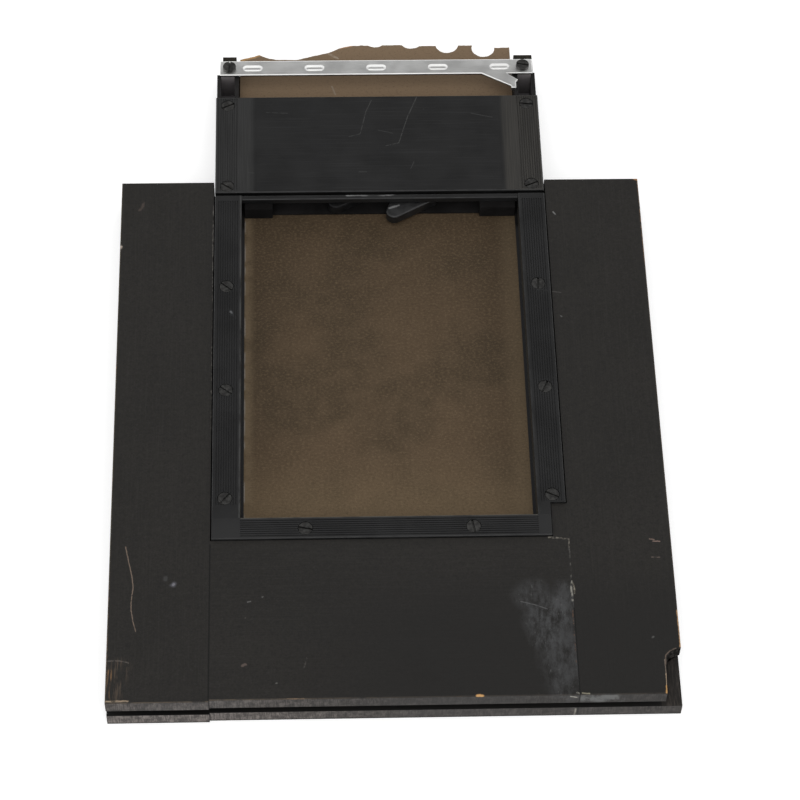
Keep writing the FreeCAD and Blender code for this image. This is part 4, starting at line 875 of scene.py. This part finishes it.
def inset(points, amount):
    """A closed anticlockwise outline moved inwards."""
    moved = []
    for number, here in enumerate(points):
        arriving = (here - points[number - 1]).normalized()
        leaving = (points[(number + 1) % len(points)] - here).normalized()
        mitre = Vector((-arriving.y - leaving.y, arriving.x + leaving.x))
        moved.append(here + mitre * amount / max(MITRE_LIMIT, 1.0 + arriving.dot(leaving)))
    return moved


def add_ring(bm, points, height):
    return [bm.verts.new((point[0], point[1], height)) for point in points]


def add_walls(bm, rings):
    """Join rings of points, lowest first, with faces that look outwards."""
    for lower, upper in zip(rings, rings[1:]):
        for number in range(len(lower)):
            after = (number + 1) % len(lower)
            bm.faces.new((lower[number], lower[after], upper[after], upper[number]))


def ring_edges(bm, ring):
    return [bm.edges.get((ring[number - 1], ring[number])) for number in range(len(ring))]


def torn_outline():
    """The dark slide's outline from its CAD shape, with close points along its torn end."""
    source = bmesh_of("dark_slide")
    top = max((face for face in source.faces if face.normal.z > 0.9), key=lambda face: face.calc_area())
    corners = [Vector(corner.co.xy) for corner in top.verts]
    source.free()
    outline = []
    for number, here in enumerate(corners):
        there = corners[(number + 1) % len(corners)]
        outline.append(here)
        if min(here.y, there.y) > TORN_LOW:
            cuts = int((there - here).length / TORN_STEP)
            outline += [here.lerp(there, (step + 1) / (cuts + 1)) for step in range(cuts)]
        elif max(here.y, there.y) > TORN_LOW:
            outline.append(here.lerp(there, (TORN_LOW - here.y) / (there.y - here.y)))
    return outline


def dark_slide(material):
    """The fibre sheet, whose torn end is ragged, with its plies broken off at different lengths."""
    outline = torn_outline()
    bm = bmesh.new()
    rings = []
    for layer, (rise, depth) in enumerate(TORN_PLIES):
        broken_back = []
        for point in outline:
            coarse = noise.noise(Vector((point.x * TORN_COARSE, point.y * TORN_COARSE, 3.1 + layer * 0.5)))
            fine = noise.noise(Vector((point.x * TORN_FINE, point.y * TORN_FINE, 8.4 + layer * 1.3)))
            ragged = depth * (1.0 + TORN_SWAY * coarse) + TORN_SPIKES * abs(fine)
            back = ragged if point.y > TORN_LOW + WELD else 0.0
            broken_back.append((point.x, point.y - back))
        rings.append(add_ring(bm, broken_back, SLIDE_LOW.z / MM + rise * SLIDE_THICK))
    add_walls(bm, rings)
    flats = [bm.faces.new(reversed(rings[0])), bm.faces.new(rings[-1])]
    bm.normal_update()
    bmesh.ops.triangulate(bm, faces=flats)
    return piece_from(bm, "dark_slide", "dark_slide", material, smooth=False)


def splintered_stile(material, broken):
    """The right stile, whose broken lip has a rough face and its own finish."""
    bm = bmesh_of("right_stile")
    soften(bm, WOOD_EDGE)
    near_y, top_z = BOARD_LOW / MM, BOARD_TOP / MM
    low_x, high_y = BOARD_RIGHT / MM - (CHIP_WIDE - CHIP_MARGIN), near_y + (CHIP_LONG - CHIP_MARGIN)
    long_edges = []
    for edge in bm.edges:
        a, b = edge.verts[0].co, edge.verts[1].co
        inside = min(a.x, b.x) > low_x and max(a.y, b.y) < high_y and min(a.z, b.z) > CHIP_FOOT
        if inside and edge.calc_length() > CHIP_SHORTEST:
            long_edges.append(edge)
    bmesh.ops.subdivide_edges(bm, edges=long_edges, cuts=CHIP_CUTS, use_grid_fill=True)
    for corner in bm.verts:
        co = corner.co
        inside = co.x > low_x and near_y + CHIP_MARGIN < co.y < high_y - 1
        if inside and CHIP_ROUGH < co.z < top_z - 0.05:
            co.x -= CHIP_DEPTH * abs(noise.noise(Vector((co.y * 0.8, co.z * 2.2, 5.0))))
    bm.normal_update()
    for face in bm.faces:
        middle = face.calc_center_median()
        inside = middle.x > low_x and near_y + CHIP_MARGIN < middle.y < high_y + 0.6
        upright = abs(face.normal.z) < 0.5 and middle.z > GROOVE_HIGH / MM and face.normal.x < 0.95
        if inside and upright:
            face.material_index = 1
    piece = piece_from(bm, "right_stile", "root", material)
    piece.data.materials.append(broken)
    return piece


def stadium(half_long, half_wide, count=10):
    """Corner points of a flat shape with straight sides and round ends."""
    points = []
    straight = half_long - half_wide
    for side in (1, -1):
        for step in range(count + 1):
            angle = math.radians(-90 + 180 * step / count)
            out, up = half_wide * math.cos(angle), half_wide * math.sin(angle)
            points.append((side * (straight + out), side * up))
    return points


def embossed_oval(bm, centre, base):
    """Press a raised oval out of the strip's top face, and give back its lowest ring."""
    rings = []
    for inward, nearer, rise in OVAL_PROFILE:
        flat = stadium(OVAL_HALF[0] - inward, OVAL_HALF[1] - inward)
        rings.append(add_ring(bm, [(centre[0] + x, centre[1] + y - nearer) for x, y in flat], base + rise))
    add_walls(bm, rings)
    bm.faces.new(rings[-1])
    return rings[0]


def end_strip(material):
    """The aluminium strip with rolled edges, embossed ovals and a spring tab turned down at its end."""
    seat = STRIP_SEAT / MM
    left, right, high = STRIP_LOW.x / MM, STRIP_HIGH.x / MM, STRIP_HIGH.y / MM
    low = high - STRIP_WIDE
    outline = [Vector(point) for point in (
        (left, low), (TAB[0][0], low), *TAB[1:-1], (TAB[-1][0], low),
        (right, low), (right, high), (left, high))]
    bm = bmesh.new()
    rings = [add_ring(bm, inset(outline, inward), seat + rise) for rise, inward in STRIP_EDGE]
    add_walls(bm, rings)
    underside = bm.faces.new(reversed(rings[0]))
    bm.normal_update()
    bmesh.ops.triangulate(bm, faces=[underside])
    top = seat + STRIP_EDGE[-1][0]
    loops = [rings[-1]]
    for number in range(OVALS):
        loops.append(embossed_oval(bm, (OVAL_PITCH * (number - (OVALS - 1) / 2), high - OVAL_INSET), top))
    edges = [edge for loop in loops for edge in ring_edges(bm, loop)]
    bmesh.ops.triangle_fill(bm, use_beauty=True, use_dissolve=False, edges=edges, normal=(0, 0, 1))
    lug = [Vector(point) for point in LUG]
    rings = [add_ring(bm, inset(lug, inward), base + rise)
             for base, profile in ((STRIP_LOW.z / MM, LUG_FOOT), (seat, LUG_HEAD))
             for rise, inward in profile]
    add_walls(bm, rings)
    bm.faces.new(reversed(rings[0]))
    bm.faces.new(rings[-1])
    return piece_from(bm, "end_strip", "root", material)


# ---------------------------------------------------------------- putting it together

def dress(material, *nodes):
    """Give CAD nodes that keep their own shape a finish."""
    for name in nodes:
        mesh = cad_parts[name].data
        mesh.materials.clear()
        mesh.materials.append(material)


def build():
    stile_left = painted_wood("painted_wood_left", 1, left_marks)
    stile_right = painted_wood("painted_wood_right", 1, right_marks)
    rail = painted_wood("painted_wood_rail", 0, rail_marks)
    softened("left_stile", WOOD_EDGE, stile_left)
    softened("board_bottom_rail", WOOD_EDGE, rail)
    splintered_stile(stile_right, broken_wood())

    rails = black_frame("frame_black_rails", window_edge_marks)
    for node in ("left_frame_rail", "right_frame_rail"):
        softened(node, RAIL_EDGE, rails)
    low_rail = black_frame("frame_black_bottom", low_rail_marks, 1.35)
    softened("bottom_frame_rail", RAIL_EDGE, low_rail)
    bar = black_frame("frame_black_crossbar", crossbar_marks, 0.75)
    softened("crossbar", BAR_EDGE, bar)
    cover = black_frame("frame_black_cover", cover_marks, 0.70)
    softened("trap_cover", RAIL_EDGE, cover)
    softened("back_plate", PLATE_EDGE, black_frame("frame_black"))

    dull = channel_black("channel_black", 1.4, 0.2, 1.0)
    for node in ("left_side_channel", "right_side_channel"):
        softened(node, PLATE_EDGE, dull)
    # A darker, duller copy of the channels' black for the pieces in the recess under the crossbar and cover:
    # painted shade.
    deep = channel_black("recess_black_shaded", 0.8, 0.06, 0.0)
    for node in ("bottom_channel", "gate_plate", "left_corner_block", "right_corner_block"):
        softened(node, PLATE_EDGE, deep)
    dress(dull, "left_screw_blocks", "right_screw_blocks", "left_film_guide", "right_film_guide")
    block = end_block_wood()
    for node in ("left_end_block", "right_end_block"):
        softened(node, BLOCK_EDGE, block, segments=3)

    end_strip(bare_aluminium())
    screws = blackened_screw()
    for node in ("frame_screws", "cover_screws", "end_strip_screws", "back_plate_screws", "lever_pins"):
        softened(node, SCREW_EDGE, screws)
    dark_slide(brown_fibre())
    # The left lever gets a darker, less glossy copy of the plastic: painted shade for the shade it sits in
    # under the crossbar.
    for lever, specular, tone in (("left", 0.12, 0.4), ("right", 0.5, 1.0)):
        plastic = black_plastic("lever_black_" + lever, specular, tone)
        softened(lever + "_lever", LEVER_EDGE, plastic, body=lever + "_lever")

    dress(velvet_pile(), "front_velvet", "rear_velvet")
    dress(spring_steel(), "trap_leaf_spring")
    dress(film_emulsion(), "film_sheet")
    inner = stained_board("inner_board", (0.008, 0.007, 0.006), (0.020, 0.017, 0.014))
    dress(inner, "trap_bar", "trap_rear_bar", "film_septum")
    bare = stained_board("bare_wood", (0.25, 0.14, 0.065), (0.42, 0.27, 0.14))
    dress(bare, "left_joint_spline", "right_joint_spline")


add_camera()
add_studio()
build()
